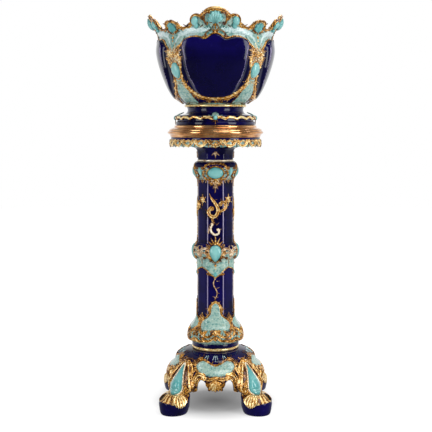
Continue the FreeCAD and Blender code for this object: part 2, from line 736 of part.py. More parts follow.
bowl_foot = revolve(([foot_inner[-1], foot_outer[0]] + foot_outer[1:], False), (foot_flare, True),
                    ([foot_flare[-1], (0, foot_bead_z), foot_inner[0]] + foot_inner[1:], False))
save("bowl_foot", bowl_foot)
foot_band = lobed_ring(foot_band_radius + 1.5, 1.5, 32, band_z, foot_band_height, foot_groove_radius)
save("foot_band", foot_band)
save("foot_bead", bead_ring(foot_bead_radius, foot_bead_height, foot_bead_z, foot_neck_radius - 20))

# ---------------------------------------------------------------- bowl
bowl_profile = [
    (bowl_seat_radius, bowl_z),
    (bowl_seat_radius + 0.42 * (bowl_belly_radius - bowl_seat_radius), bowl_z + 0.175 * bowl_belly_height),
    (bowl_seat_radius + 0.76 * (bowl_belly_radius - bowl_seat_radius), bowl_z + 0.53 * bowl_belly_height),
    (bowl_belly_radius, bowl_z + bowl_belly_height), (bowl_waist_radius, bowl_z + bowl_waist_height),
    (0.6 * bowl_lip_radius + 0.4 * bowl_waist_radius, bowl_z + 0.45 * bowl_waist_height + 0.55 * bowl_height),
    (bowl_lip_radius, bowl_top_z)]
bowl_body = body_under(bowl_profile)
bowl_inner = pushed(bowl_profile, -bowl_wall)
bowl_inner = [(bowl_inner[0][0], bowl_z + bowl_floor)] + bowl_inner[1:-1] + [(bowl_lip_radius - bowl_wall, bowl_top_z)]
rim_line = [(0, 0.0), (26, 7), (39, 18), (48, 22), (60, 20), (70, 28), (78, 43), (90, saddle_drop), (106, saddle_drop),
            (120, 44), (132, corner_crest_drop + 4), (math.sqrt(0.5) * bowl_lip_radius, corner_crest_drop)]
half_rim = [(x, -far, bowl_top_z - drop) for x, drop in rim_line]
rim_edges = [curve([(-x, y, z) for x, y, z in half_rim[:0:-1]] + half_rim)]
rim_ends = [Vector(*half_rim[-1]), Vector(far, -far, bowl_top_z - corner_crest_drop), Vector(far, -far, bowl_top_z + 50),
            Vector(-far, -far, bowl_top_z + 50), Vector(-far, -far, bowl_top_z - corner_crest_drop),
            Vector(-half_rim[-1][0], -far, half_rim[-1][2])]
rim_edges += [Part.makeLine(a, b) for a, b in zip(rim_ends, rim_ends[1:])]
above_rim = Part.Face(Part.Wire(rim_edges)).extrude(Vector(0, far, 0))
wedge = Part.Face(Part.makePolygon([Vector(0, 0, 0), Vector(-far, -far, 0), Vector(far, -far, 0), Vector(0, 0, 0)]))
wedge = wedge.extrude(Vector(0, 0, 2 * bowl_top_z))
bowl_side = bowl_body.cut(body_under(bowl_inner)).common(wedge).cut(above_rim)
bowl_sides = all_round(bowl_side)
save("bowl", bowl_sides[0].fuse(bowl_sides[1:]).removeSplitter())

# Raised cobalt cushions in gilt frames, one on each face
cushion_shape = mirrored([
    (0, 0.0), (0.30, 0.02), (0.54, 0.085), (0.74, 0.18), (0.91, 0.31), (0.97, 0.45), (0.955, 0.56), (1.0, 0.66),
    (1.0, 0.76), (0.9, 0.865), (0.78, 0.925), (0.58, 0.955), (0.40, 0.93), (0.28, 0.915), (0.17, 0.955), (0, 1.0)])
cushion_outline = placed(cushion_shape, cushion_half_width, cushion_height, bowl_z + cushion_bottom)
frame_outline = grown(cushion_outline, frame_width)
cushion_face = outline_face(cushion_outline)
cushion = skin(bowl_profile, cushion_lift).common(front_prism(cushion_face))
frame_face = outline_face(frame_outline).cut(cushion_face)
frame = skin(bowl_profile, frame_lift).common(front_prism(frame_face)).cut(above_rim)
sides = {"front": 0.0, "right": 90.0, "back": 180.0, "left": 270.0}
for name, angle in sides.items():
    save("cushion_" + name, turned(cushion, angle))
    save("cushion_frame_" + name, turned(frame, angle))

# Mottled straps on the diagonals, between the frames
bowl_strap_skin = skin(bowl_profile, strap_lift)
strap_shape = mirrored([(0, 0), (0.6, 0), (0.95, 0.03), (0.95, 0.14), (0.6, 0.3), (0.42, 0.6), (0.45, 0.9), (0.5, 1.0),
                        (0, 1.0)])
strap_face = outline_face(placed(strap_shape, strap_foot_half_width, strap_height, bowl_z + strap_bottom))
frame_block = front_prism(outline_face(frame_outline))
strap = bowl_strap_skin.common(front_prism(strap_face))
strap = strap.cut([turned(frame_block, -45.0), turned(frame_block, 45.0)])
for name, angle in diagonals.items():
    save("corner_strap_" + name, turned(strap, angle + quarter))

corner_gem_z = bowl_z + corner_gem_height
corner_gem_radius, corner_gem_lean = profile_point(bowl_profile, corner_gem_z)
corner_gem = gem(corner_gem_half_width, corner_gem_half_height, corner_gem_stand, corner_gem_radius + strap_lift,
                 corner_gem_z, corner_gem_lean)
corner_gem = corner_gem.common(skin(pushed(bowl_profile, strap_lift), 2 * corner_gem_stand))
corner_gem = corner_gem.cut([turned(frame_block, -45.0), turned(frame_block, 45.0)])
save("corner_gems", all_round(corner_gem, 45.0))

# Crest on each face: a shell under a gilt arch, with a scroll on either side
crest_skin = skin(bowl_profile, crest_lift)
shell_z = bowl_top_z - crest_shell_drop
shell_radius, shell_lean = profile_point(bowl_profile, shell_z)
crest_shell = gem(crest_shell_half_width, crest_shell_half_height, crest_shell_stand, shell_radius, shell_z, shell_lean)
crest_shell = crest_shell.cut(bowl_body)
save("crest_shells", all_round(crest_shell))
arch_reach = crest_shell_half_width + crest_ribbon_width / 2 + 1
arch_line = [(-arch_reach, shell_z - 9), (-0.97 * arch_reach, shell_z + 7), (-0.55 * arch_reach, shell_z + 18),
             (0, shell_z + 23), (0.55 * arch_reach, shell_z + 18), (0.97 * arch_reach, shell_z + 7),
             (arch_reach, shell_z - 9)]
arch_piece = crest_skin.common(front_prism(outline_face(ribbon(
    arch_line, [5, 7, crest_ribbon_width, crest_ribbon_width, crest_ribbon_width, 7, 5]))))
curl_line = [(arch_reach + 10, shell_z - 31), (arch_reach + 11, shell_z - 13), (arch_reach + 20, shell_z - 3),
             (crest_half_width - 14, shell_z + 1), (crest_half_width - 5, shell_z - 7),
             (crest_half_width - 12, shell_z - 15)]
curl_piece = crest_skin.common(front_prism(outline_face(ribbon(curl_line, [4, 8, 9, 9, 8, 6]))))
crest_pieces = []
for piece in (arch_piece, curl_piece, curl_piece.mirror(Vector(0, 0, 0), Vector(1, 0, 0))):
    crest_pieces += all_round(piece.cut([crest_shell, frame_block, bowl_body]).cut(above_rim))
save("crest_scrolls", crest_pieces)
fan_shape = mirrored([(0, 0), (0.3, 0.3), (0.75, 0.5), (1.0, 0.8), (0.7, 0.86), (0.45, 0.94), (0, 1.0)])
fan_face = outline_face(placed(fan_shape, corner_fan_half_width, corner_fan_height,
                               bowl_top_z - corner_crest_drop - corner_fan_depth))
fan = crest_skin.common(front_prism(fan_face)).cut(front_prism(strap_face))
front_rim = above_rim.common(wedge)
fan = turned(fan, 45.0).cut([front_rim, turned(front_rim, quarter)])
save("corner_crests", all_round(fan))

# Turquoise stones on the band of the foot
foot_gem = gem(foot_gem_radius, foot_gem_radius, foot_gem_stand, foot_band_radius, band_z + foot_band_height / 2)
save("foot_gems", [stone.cut(foot_band) for stone in all_round(foot_gem)])
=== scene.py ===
import bpy
import math
import numpy as np
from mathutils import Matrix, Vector
from mathutils.geometry import delaunay_2d_cdt


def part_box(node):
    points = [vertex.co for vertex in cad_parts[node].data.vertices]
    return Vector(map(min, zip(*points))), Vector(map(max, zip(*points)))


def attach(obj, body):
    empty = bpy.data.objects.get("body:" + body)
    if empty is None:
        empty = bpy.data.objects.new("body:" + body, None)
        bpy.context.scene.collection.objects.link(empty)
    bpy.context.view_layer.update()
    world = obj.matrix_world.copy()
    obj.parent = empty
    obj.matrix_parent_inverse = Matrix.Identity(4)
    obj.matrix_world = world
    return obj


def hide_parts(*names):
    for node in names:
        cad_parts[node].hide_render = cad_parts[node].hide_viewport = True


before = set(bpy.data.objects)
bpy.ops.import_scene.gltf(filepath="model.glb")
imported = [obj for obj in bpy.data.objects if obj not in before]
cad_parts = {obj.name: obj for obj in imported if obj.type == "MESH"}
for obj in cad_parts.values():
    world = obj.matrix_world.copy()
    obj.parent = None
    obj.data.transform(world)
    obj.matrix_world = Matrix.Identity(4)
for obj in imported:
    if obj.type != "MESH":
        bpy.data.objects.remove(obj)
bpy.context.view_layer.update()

# Majolica jardiniere on its stand. Sizes here are in mm until a mesh is made; the front looks along -Y.
mm = 0.001
quarter = math.pi / 2
steepest = 0.985  # relief is laid round a body up to this sine of the turn
nearTurn, nearRise = 0.004, 0.4  # small steps that give a body's slope
scene = bpy.context.scene


def levels(node):  # lowest and highest z of a CAD node
    low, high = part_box(node)
    return low[2] / mm, high[2] / mm


baseTop = levels("stand_base")[1]
columnLow, columnHigh = levels("column_shaft")
capitalLow = levels("capital")[0]
plateLow, plateHigh = levels("top_plate")
footLow = levels("bowl_foot")[0]
footBeadLow = levels("foot_bead")[0]
bowlLow, bowlHigh = levels("bowl")
print("stack levels read from the frame:", *map(round, (baseTop, columnHigh, plateHigh, bowlHigh)))


# ---- lines, bodies and meshes
def smoothLine(points, count, closed=False):
    # smooth line through the points, evenly spaced; extra columns ride along
    spots = np.array(points, float)
    if closed:
        spots = np.vstack([spots[-3:], spots, spots[:4]])
    steps = np.sqrt(np.maximum(np.linalg.norm(np.diff(spots[:, :2], axis=0), axis=1), 1e-6))
    slopes = np.diff(spots, axis=0) / steps[:, None]
    bends = np.vstack([slopes[:1], (slopes[:-1] * steps[1:, None] + slopes[1:] * steps[:-1, None])
                       / (steps[:-1] + steps[1:])[:, None], slopes[-1:]])
    share = np.linspace(0, 1, 14)[None, :, None]
    first, last, along = spots[:-1, None], spots[1:, None], steps[:, None, None]
    square, cube = share**2, share**3
    fine = ((2 * cube - 3 * square + 1) * first + (cube - 2 * square + share) * bends[:-1, None] * along
            + (3 * square - 2 * cube) * last + (cube - square) * bends[1:, None] * along)
    if closed:
        fine = fine[3:-3]
    fine = fine.reshape(-1, spots.shape[1])
    run = np.r_[0, np.cumsum(np.linalg.norm(np.diff(fine[:, :2], axis=0), axis=1))]
    keep = np.r_[True, np.diff(run) > 1e-9]
    fine, run = fine[keep], run[keep]
    at = np.linspace(0, run[-1], count + 1)[:-1] if closed else np.linspace(0, run[-1], count)
    return np.stack([np.interp(at, run, column) for column in fine.T], 1)


def turnedBody(points):  # radius of a turned body by height
    line = smoothLine(points, 500)
    line = line[np.argsort(line[:, 1])]
    return lambda turn, z: np.interp(z, line[:, 1], line[:, 0]) + 0 * turn


def circle(count):  # even turns round the axis, the first to the front
    return np.arange(count) * 2 * math.pi / count


def ringAt(radius, turns, z):  # points at a radius and height round the axis
    return np.stack([radius * np.sin(turns), -radius * np.cos(turns), z + 0 * turns], 1)


def surfaceAt(body, turn, z, lift):  # points lifted off a body along its normal
    def spot(t, level):
        return ringAt(body(t, level), t, level)
    across = spot(turn + nearTurn, z) - spot(turn - nearTurn, z)
    out = np.cross(across, spot(turn, z + nearRise) - spot(turn, z - nearRise))
    out /= np.linalg.norm(out, axis=1)[:, None]
    return spot(turn, z) + out * lift[:, None]


def spun(points, angle):  # points turned about the axis
    c, s = math.cos(angle), math.sin(angle)
    return np.stack([points[:, 0] * c - points[:, 1] * s, points[:, 0] * s + points[:, 1] * c,
                     points[:, 2]], 1)


def onBody(body, flat, angle=0.0):  # lays a flat front view (x, z, height of relief) on a body
    x, z, lift = flat[:, 0], flat[:, 1], flat[:, 2]
    turn = 0 * x
    for step in range(7):
        turn = np.arcsin(np.clip(x / body(turn, z), -steepest, steepest))
    return spun(surfaceAt(body, turn, z, lift), angle)


def meshObject(name, points, polygons, material, relief=None):
    data = bpy.data.meshes.new(name)
    data.from_pydata((np.asarray(points) * mm).tolist(), [], polygons)
    data.polygons.foreach_set("use_smooth", [True] * len(data.polygons))
    if relief is not None:
        data.attributes.new("relief", "FLOAT", "POINT").data.foreach_set("value", np.asarray(relief, "f"))
    data.materials.append(material)
    data.update()
    made = bpy.data.objects.new(name, data)
    scene.collection.objects.link(made)
    return made


def volumeOf(points, polygons):  # signed volume, to tell which way the faces look
    total = 0.0
    for count in (3, 4):
        chosen = np.array([p for p in polygons if len(p) == count])
        for i in range(1, count - 1):
            if len(chosen):
                a, b, c = points[chosen[:, 0]], points[chosen[:, i]], points[chosen[:, i + 1]]
                total += np.einsum("ij,ij->i", a, np.cross(b, c)).sum()
    return total


def ringFaces(rows, around, loop):
    # quads between rings of points; a loop joins the last ring to the first
    polygons = []
    for i in range(rows if loop else rows - 1):
        low, high = i * around, (i + 1) % rows * around
        for j in range(around):
            k = (j + 1) % around
            polygons.append((low + j, low + k, high + k, high + j))
    return polygons


def ringSolid(rings, loop=False):
    # closed solid from rings of points, with a point at each end unless it is a loop
    rows, around = rings.shape[:2]
    points = rings.reshape(-1, 3)
    polygons = ringFaces(rows, around, loop)
    if not loop:
        ends = [rings[0].mean(0), rings[-1].mean(0)]
        points = np.vstack([points, ends])
        top = (rows - 1) * around
        for j in range(around):
            k = (j + 1) % around
            polygons.append((rows * around, k, j))
            polygons.append((rows * around + 1, top + j, top + k))
    if volumeOf(points, polygons) < 0:
        polygons = [p[::-1] for p in polygons]
    return points, polygons


def shellFaces(rows, columns):  # faces of a grid of points, of its underside and of the edge between them
    count, polygons = rows * columns, []
    for i in range(rows - 1):
        for j in range(columns - 1):
            a = i * columns + j
            polygons.append((a, a + 1, a + columns + 1, a + columns))
            polygons.append((count + a, count + a + columns, count + a + columns + 1, count + a + 1))
    edge = list(range(columns)) + [i * columns + columns - 1 for i in range(1, rows)]
    edge += [(rows - 1) * columns + j for j in range(columns - 2, -1, -1)]
    edge += [i * columns for i in range(rows - 2, 0, -1)]
    return polygons + [(b, a, count + a, count + b) for a, b in zip(edge, edge[1:] + edge[:1])]


def joined(parts):  # several (points, polygons) as one
    points, polygons, count = [], [], 0
    for spots, shapes in parts:
        points.append(spots)
        polygons += [tuple(v + count for v in p) for p in shapes]
        count += len(spots)
    return np.vstack(points), polygons


def latheRings(section, around):  # rings of a turned solid from its section of (radius, z)
    return np.array([ringAt(r, circle(around), z) for r, z in section])


# ---- materials
def newMaterial(name, **sockets):
    material = bpy.data.materials.new(name)
    material.use_nodes = True
    tree = material.node_tree
    shader = tree.nodes["Principled BSDF"]
    for socket, value in sockets.items():
        shader.inputs[socket.replace("_", " ")].default_value = value
    return material, tree, shader


def addNode(tree, kind, **values):
    node = tree.nodes.new(kind)
    for key, value in values.items():
        if hasattr(node, key):
            setattr(node, key, value)
        else:
            node.inputs[key.replace("_", " ")].default_value = value
    return node


def addRamp(tree, stops, source):
    node = tree.nodes.new("ShaderNodeValToRGB")
    ramp = node.color_ramp
    while len(ramp.elements) < len(stops):
        ramp.elements.new(0.5)
    for element, (place, colour) in zip(ramp.elements, stops):
        element.position = place
        element.color = (*colour, 1)
    tree.links.new(source, node.inputs["Fac"])
    return node.outputs["Color"]


def mixColour(tree, mode, fraction, first, second):
    node = tree.nodes.new("ShaderNodeMix")
    node.data_type, node.blend_type = "RGBA", mode
    for socket, value in ((node.inputs[0], fraction), (node.inputs[6], first), (node.inputs[7], second)):
        if isinstance(value, bpy.types.NodeSocket):
            tree.links.new(value, socket)
        else:
            socket.default_value = value if isinstance(value, float) else (*value, 1)
    return node.outputs[2]


def addMath(tree, operation, first, second):
    node = tree.nodes.new("ShaderNodeMath")
    node.operation = operation
    for socket, value in zip(node.inputs, (first, second)):
        if isinstance(value, bpy.types.NodeSocket):
            tree.links.new(value, socket)
        else:
            socket.default_value = value
    return node.outputs[0]


def addNoise(tree, place, **values):  # noise on the object's own coordinates
    noise = addNode(tree, "ShaderNodeTexNoise", **values)
    tree.links.new(place, noise.inputs["Vector"])
    return noise.outputs["Fac"]


def addGreys(tree, stops, source):  # ramp of greys
    return addRamp(tree, [(place, (tone,) * 3) for place, tone in stops], source)


def addSwing(tree, source, strength):  # noise made to swing about nought
    return addMath(tree, "MULTIPLY", addMath(tree, "SUBTRACT", source, 0.5), strength)


def glazeBase(name, noiseScale, **sockets):
    # a glaze: shader, object coordinates, broad noise and the relief attribute
    material, tree, shader = newMaterial(name, **sockets)
    place = tree.nodes.new("ShaderNodeTexCoord").outputs["Object"]
    broad = addNoise(tree, place, Scale=noiseScale, Detail=3.0, Roughness=0.55)
    relief = tree.nodes.new("ShaderNodeAttribute")
    relief.attribute_name = "relief"
    return material, tree, shader, place, broad, relief.outputs["Fac"]


def addRipple(tree, shader, place, scale, strength, distance=0.001):  # slight waviness of fired glaze
    bump = addNode(tree, "ShaderNodeBump", Strength=strength, Distance=distance)
    tree.links.new(addNoise(tree, place, Scale=scale, Detail=2.0), bump.inputs["Height"])
    tree.links.new(bump.outputs["Normal"], shader.inputs["Normal"])


def cobaltGlaze():
    colours = {"deep": (0.0012, 0.0008, 0.018), "full": (0.0035, 0.0018, 0.062),
               "thin": (0.018, 0.012, 0.13), "highlight": (0.36, 0.31, 0.46)}
    material, tree, shader, place, broad, relief = glazeBase(
        "cobaltGlaze", 14.0, Roughness=0.06, Specular_IOR_Level=0.32, IOR=1.5)
    body = addRamp(tree, [(0.35, colours["deep"]), (0.62, colours["full"])], broad)
    specks = addGreys(tree, [(0.62, 0), (0.80, 1)], addNoise(tree, place, Scale=210.0, Detail=2.0))
    body = mixColour(tree, "MIX", addMath(tree, "MULTIPLY", specks, 0.5), body, colours["thin"])
    # the cobalt is mixed towards deep where the relief attribute is low, which makes the panels darker
    # towards the bottom
    body = mixColour(tree, "MIX", addGreys(tree, [(0.0, 0.85), (0.5, 0)], relief), body, colours["deep"])
    # painted highlight: where the relief is high, on the panel ridges and the shaft edges, the cobalt is
    # painted pale lavender in place of reflected lamps
    paintedHighlight = addGreys(tree, [(0.55, 0), (1.0, 1)], relief)
    tree.links.new(mixColour(tree, "MIX", paintedHighlight, body, colours["highlight"]), shader.inputs["Base Color"])
    addRipple(tree, shader, place, 38.0, 0.06)
    return material


def mixed(first, second, share):
    return tuple(p + share * (q - p) for p, q in zip(first, second))


def giltGlaze(name, dark, amber, highlightColour, metal, rough=0.24):
    # amber glaze that pools brown in the hollows, its own colour, with a painted highlight: pale gold on
    # the ridges where the relief is highest
    material, tree, shader, place, broad, relief = glazeBase(
        name, 55.0, Metallic=metal, Roughness=rough, Coat_Weight=0.35, Coat_Roughness=0.08)
    fine = addNoise(tree, place, Scale=230.0, Detail=2.0, Roughness=0.5)
    spots = addMath(tree, "ADD", addSwing(tree, broad, 1.3), addSwing(tree, fine, 1.5))
    level = addMath(tree, "ADD", relief, spots)
    # the last stop is the painted highlight on the highest relief
    stops = [(0.16, dark), (0.38, mixed(dark, amber, 0.45)), (0.58, amber), (0.82, highlightColour)]
    tree.links.new(addRamp(tree, stops, level), shader.inputs["Base Color"])
    addRipple(tree, shader, place, 150.0, 0.55)
    return material


def copperGlaze():  # gilding fired smooth, darker where it is worn
    material, tree, shader, place, broad, relief = glazeBase(
        "copperGiltGlaze", 30.0, Metallic=0.85, Roughness=0.16, Coat_Weight=0.2, Coat_Roughness=0.05)
    stops = [(0.30, (0.42, 0.17, 0.055)), (0.50, (0.66, 0.32, 0.12)), (0.72, (0.84, 0.50, 0.24))]
    tree.links.new(addRamp(tree, stops, broad), shader.inputs["Base Color"])
    addRipple(tree, shader, place, 60.0, 0.12)
    return material


def mottledGlaze(name, colours):
    material, tree, shader, place, broad, relief = glazeBase(
        name, 26.0, Roughness=0.16, Specular_IOR_Level=0.5, Coat_Weight=0.3, Coat_Roughness=0.05)
    spots = addNoise(tree, place, Scale=150.0, Detail=3.0, Roughness=0.6)
    flecks = addNode(tree, "ShaderNodeTexVoronoi", Scale=190.0, Randomness=1.0)
    tree.links.new(place, flecks.inputs["Vector"])
    fine = addMath(tree, "MULTIPLY", spots, 0.8)
    ground = addMath(tree, "ADD", broad, addMath(tree, "MULTIPLY", relief, 0.35))
    level = addMath(tree, "ADD", fine, addMath(tree, "MULTIPLY", ground, 0.25))
    stops = [(0.34, colours["pool"]), (0.50, colours["ground"]), (0.66, colours["pale"])]
    tone = addRamp(tree, stops, level)
    white = addGreys(tree, [(0.10, 1), (0.26, 0)], flecks.outputs["Distance"])
    moss = addGreys(tree, [(0.60, 0), (0.70, 1)], spots)
    tone = mixColour(tree, "MIX", addMath(tree, "MULTIPLY", white, 0.75), tone, colours["white"])
    tone = mixColour(tree, "MIX", addMath(tree, "MULTIPLY", moss, 0.45), tone, colours["moss"])
    tree.links.new(tone, shader.inputs["Base Color"])
    addRipple(tree, shader, place, 170.0, 0.18)
    return material


def turquoiseGlaze():
    colours = {"pool": (0.022, 0.14, 0.12), "full": (0.10, 0.36, 0.36), "thin": (0.23, 0.51, 0.49)}
    material, tree, shader, place, broad, relief = glazeBase(
        "turquoiseGlaze", 40.0, Roughness=0.10, Specular_IOR_Level=0.5, Coat_Weight=0.4,
        Coat_Roughness=0.03)
    # the stones are paler where the relief is high: thinner glaze, and partly a painted soft highlight on
    # their tops
    level = addMath(tree, "ADD", relief, addSwing(tree, broad, 0.8))
    stops = [(0.05, colours["pool"]), (0.45, colours["full"]), (1.0, colours["thin"])]
    tree.links.new(addRamp(tree, stops, level), shader.inputs["Base Color"])
    addRipple(tree, shader, place, 80.0, 0.12)
    return material


def plainFinish(name, first, second, scale, **sockets):  # cork, leather and iron of the hidden fittings
    material, tree, shader, place, broad, relief = glazeBase(name, scale, **sockets)
    tree.links.new(addRamp(tree, [(0.3, first), (0.7, second)], broad), shader.inputs["Base Color"])
    addRipple(tree, shader, place, scale * 2, 0.4)
    return material


cobalt = cobaltGlaze()
gilt = giltGlaze("giltGlaze", (0.065, 0.014, 0.003), (0.76, 0.34, 0.034), (1.0, 0.81, 0.40), 0.38, 0.18)
warmGilt = giltGlaze("warmGiltGlaze", (0.10, 0.024, 0.004), (0.72, 0.32, 0.036), (1.0, 0.76, 0.34), 0.22,
                     0.36)
paleGilt = giltGlaze("paleGiltGlaze", (0.26, 0.12, 0.05), (0.72, 0.50, 0.28), (0.98, 0.88, 0.68), 0.25)
copperGilt = copperGlaze()
mottled = mottledGlaze("mottledGlaze", {"pool": (0.020, 0.10, 0.10), "ground": (0.13, 0.29, 0.27),
                                        "pale": (0.35, 0.50, 0.43), "moss": (0.15, 0.14, 0.055),
                                        "white": (0.70, 0.76, 0.66)})
paleMottled = mottledGlaze("paleMottledGlaze", {"pool": (0.12, 0.28, 0.28), "ground": (0.40, 0.58, 0.57),
                           "pale": (0.64, 0.76, 0.75), "moss": (0.30, 0.42, 0.38),
                           "white": (0.80, 0.87, 0.87)})
turquoise = turquoiseGlaze()
cork = plainFinish("corkBedding", (0.16, 0.09, 0.045), (0.34, 0.21, 0.11), 220.0, Roughness=0.85)
leather = plainFinish("padLeather", (0.07, 0.032, 0.016), (0.13, 0.06, 0.03), 160.0, Roughness=0.6)
iron = plainFinish("blackenedIron", (0.035, 0.034, 0.033), (0.09, 0.085, 0.08), 90.0, Metallic=0.9,
                   Roughness=0.45)
print("materials made")


# ---- Geometry Nodes: a relief swept along paths, and small forms stamped at points
def newTree(name, extra):
    tree = bpy.data.node_groups.new(name, "GeometryNodeTree")
    tree.interface.new_socket("Geometry", in_out="INPUT", socket_type="NodeSocketGeometry")
    for label, kind in extra:
        tree.interface.new_socket(label, in_out="INPUT", socket_type=kind)
    tree.interface.new_socket("Geometry", in_out="OUTPUT", socket_type="NodeSocketGeometry")
    return tree, tree.nodes.new("NodeGroupInput"), tree.nodes.new("NodeGroupOutput")


def attributeNode(tree, name, kind="FLOAT"):
    node = tree.nodes.new("GeometryNodeInputNamedAttribute")
    node.data_type = kind
    node.inputs["Name"].default_value = name
    return next(out for out in node.outputs if out.enabled and out.name == "Attribute")


def finishTree(tree, source, group, out):
    real, paint = tree.nodes.new("GeometryNodeRealizeInstances"), tree.nodes.new("GeometryNodeSetMaterial")
    tree.links.new(source, real.inputs["Geometry"])
    tree.links.new(real.outputs["Geometry"], paint.inputs["Geometry"])
    tree.links.new(group.outputs["Material"], paint.inputs["Material"])
    tree.links.new(paint.outputs["Geometry"], out.inputs["Geometry"])


def sweepTree():
    tree, group, out = newTree("reliefSweep", [("Section", "NodeSocketObject"),
                               ("Scale", "NodeSocketFloat"), ("Material", "NodeSocketMaterial")])
    toCurve, normal, section, sweep, times = [tree.nodes.new(kind) for kind in ("GeometryNodeMeshToCurve",
        "GeometryNodeSetCurveNormal", "GeometryNodeObjectInfo", "GeometryNodeCurveToMesh",
        "ShaderNodeMath")]
    times.operation = "MULTIPLY"
    normal.mode = "Z_UP"
    sweep.inputs["Fill Caps"].default_value = True
    tree.links.new(group.outputs["Geometry"], toCurve.inputs["Mesh"])
    tree.links.new(toCurve.outputs["Curve"], normal.inputs["Curve"])
    tree.links.new(normal.outputs["Curve"], sweep.inputs["Curve"])
    tree.links.new(group.outputs["Section"], section.inputs["Object"])
    tree.links.new(section.outputs["Geometry"], sweep.inputs["Profile Curve"])
    tree.links.new(attributeNode(tree, "width"), times.inputs[0])
    tree.links.new(group.outputs["Scale"], times.inputs[1])
    tree.links.new(times.outputs[0], sweep.inputs["Scale"])
    finishTree(tree, sweep.outputs["Mesh"], group, out)
    return tree


def stampTree():
    tree, group, out = newTree("reliefStamps", [("Form", "NodeSocketObject"), ("Scale", "NodeSocketFloat"),
                                                ("Material", "NodeSocketMaterial")])
    form, stamp, turn, rotate, size = [tree.nodes.new(kind) for kind in (
        "GeometryNodeObjectInfo", "GeometryNodeInstanceOnPoints", "ShaderNodeCombineXYZ",
        "FunctionNodeEulerToRotation", "ShaderNodeVectorMath")]
    size.operation = "SCALE"
    tree.links.new(group.outputs["Geometry"], stamp.inputs["Points"])
    tree.links.new(group.outputs["Form"], form.inputs["Object"])
    tree.links.new(form.outputs["Geometry"], stamp.inputs["Instance"])
    tree.links.new(attributeNode(tree, "turn"), turn.inputs["Z"])
    tree.links.new(turn.outputs[0], rotate.inputs["Euler"])
    tree.links.new(rotate.outputs["Rotation"], stamp.inputs["Rotation"])
    tree.links.new(attributeNode(tree, "size", "FLOAT_VECTOR"), size.inputs[0])
    tree.links.new(group.outputs["Scale"], size.inputs["Scale"])
    tree.links.new(size.outputs[0], stamp.inputs["Scale"])
    finishTree(tree, stamp.outputs["Instances"], group, out)
    return tree


def runTree(tree, points, edges, attributes, inputs):  # plain mesh data of a tree's result
    data = bpy.data.meshes.new("layout")
    data.from_pydata(points, edges, [])
    for name, kind, values in attributes:
        layer = data.attributes.new(name, kind, "POINT")
        layer.data.foreach_set("vector" if kind == "FLOAT_VECTOR" else "value",
                               np.asarray(values, "f").ravel())
    holder = bpy.data.objects.new("layout", data)
    scene.collection.objects.link(holder)
    modifier = holder.modifiers.new("relief", "NODES")
    modifier.node_group = tree
    for socket in tree.interface.items_tree:
        if socket.in_out == "INPUT" and socket.name in inputs:
            modifier[socket.identifier] = inputs[socket.name]
    evaluated = holder.evaluated_get(bpy.context.evaluated_depsgraph_get())
    result = bpy.data.meshes.new_from_object(evaluated)
    spots = np.empty(len(result.vertices) * 3)
    result.vertices.foreach_get("co", spots)
    polygons = [tuple(p.vertices) for p in result.polygons]
    holder.modifiers.remove(modifier)
    bpy.data.objects.remove(holder)
    return spots.reshape(-1, 3), polygons


sweepGroup, stampGroup = sweepTree(), stampTree()
helpers = []


def sectionObject(name, points):  # closed outline of a swept relief, its half width 1
    data = bpy.data.curves.new(name, "CURVE")
    data.dimensions = "2D"
    line = data.splines.new("POLY")
    line.points.add(len(points) - 1)
    for spot, (x, y) in zip(line.points, points):
        spot.co = (x, y, 0, 1)
    line.use_cyclic_u = True
    made = bpy.data.objects.new(name, data)
    scene.collection.objects.link(made)
    helpers.append(made)
    return made


def formObject(name, points, polygons):
    data = bpy.data.meshes.new(name)
    data.from_pydata(points, [], polygons)
    made = bpy.data.objects.new(name, data)
    scene.collection.objects.link(made)
    helpers.append(made)
    return made


sections = {
    "rib": sectionObject("ribSection", [
        (-1, -0.45), (1, -0.45), (1, 0.1), (0.82, 0.5), (0.45, 0.82), (0, 0.92), (-0.45, 0.82),
        (-0.82, 0.5), (-1, 0.1)]),
    "scroll": sectionObject("scrollSection", [
        (-1, -0.45), (1, -0.45), (1, 0.2), (0.88, 0.62), (0.62, 0.84), (0.36, 0.66), (0.08, 0.34),
        (-0.26, 0.36), (-0.5, 0.66), (-0.74, 0.72), (-0.94, 0.5), (-1, 0.1)])}


def leafForm(lobes=3):  # acanthus leaf of unit length along +Y, ridged down the middle
    line = [(0.0, 0.10, 0.25)]
    for i in range(lobes):
        base, tip = 0.12 + 0.72 * i / lobes, 0.12 + 0.72 * (i + 0.62) / lobes
        spread = 0.40 - 0.09 * i
        line += [(base, 0.6 * spread, 0.55), (tip, spread, 0.38), (tip + 0.10, 0.52 * spread, 0.62)]
    line += [(1.0, 0.03, 0.15)]
    points, polygons = [], []
    for y, half, mid in line:
        edge = 0.10
        points += [(-half, y, -0.12), (-half, y, edge), (-0.45 * half, y, 0.8 * mid), (0, y, 0.62 * mid),
                   (0.45 * half, y, 0.8 * mid), (half, y, edge), (half, y, -0.12)]
    for i in range(len(line) - 1):
        for j in range(6):
            a = i * 7 + j
            polygons.append((a, a + 1, a + 8, a + 7))
        polygons.append((i * 7 + 6, i * 7, i * 7 + 7, i * 7 + 13))
    last = (len(line) - 1) * 7
    polygons += [tuple(range(6, -1, -1)), tuple(range(last, last + 7))]
    points = [(x, y, 0.55 * h) for x, y, h in points]
    return points, polygons


def domeForm(around=10, rows=3):  # low dome of unit radius
    points = []
    for i in range(rows):
        angle = i / rows * quarter
        points += [(math.cos(angle) * math.cos(turn), math.cos(angle) * math.sin(turn), math.sin(angle))
                   for turn in circle(around)]
    points = [(x, y, -0.35) for x, y, h in points[:around]] + points
    polygons = ringFaces(rows + 1, around, False)
    points.append((0, 0, 1))
    top = rows * around
    polygons += [(top + j, top + (j + 1) % around, len(points) - 1) for j in range(around)]
    polygons.append(tuple(range(around - 1, -1, -1)))
    return points, polygons


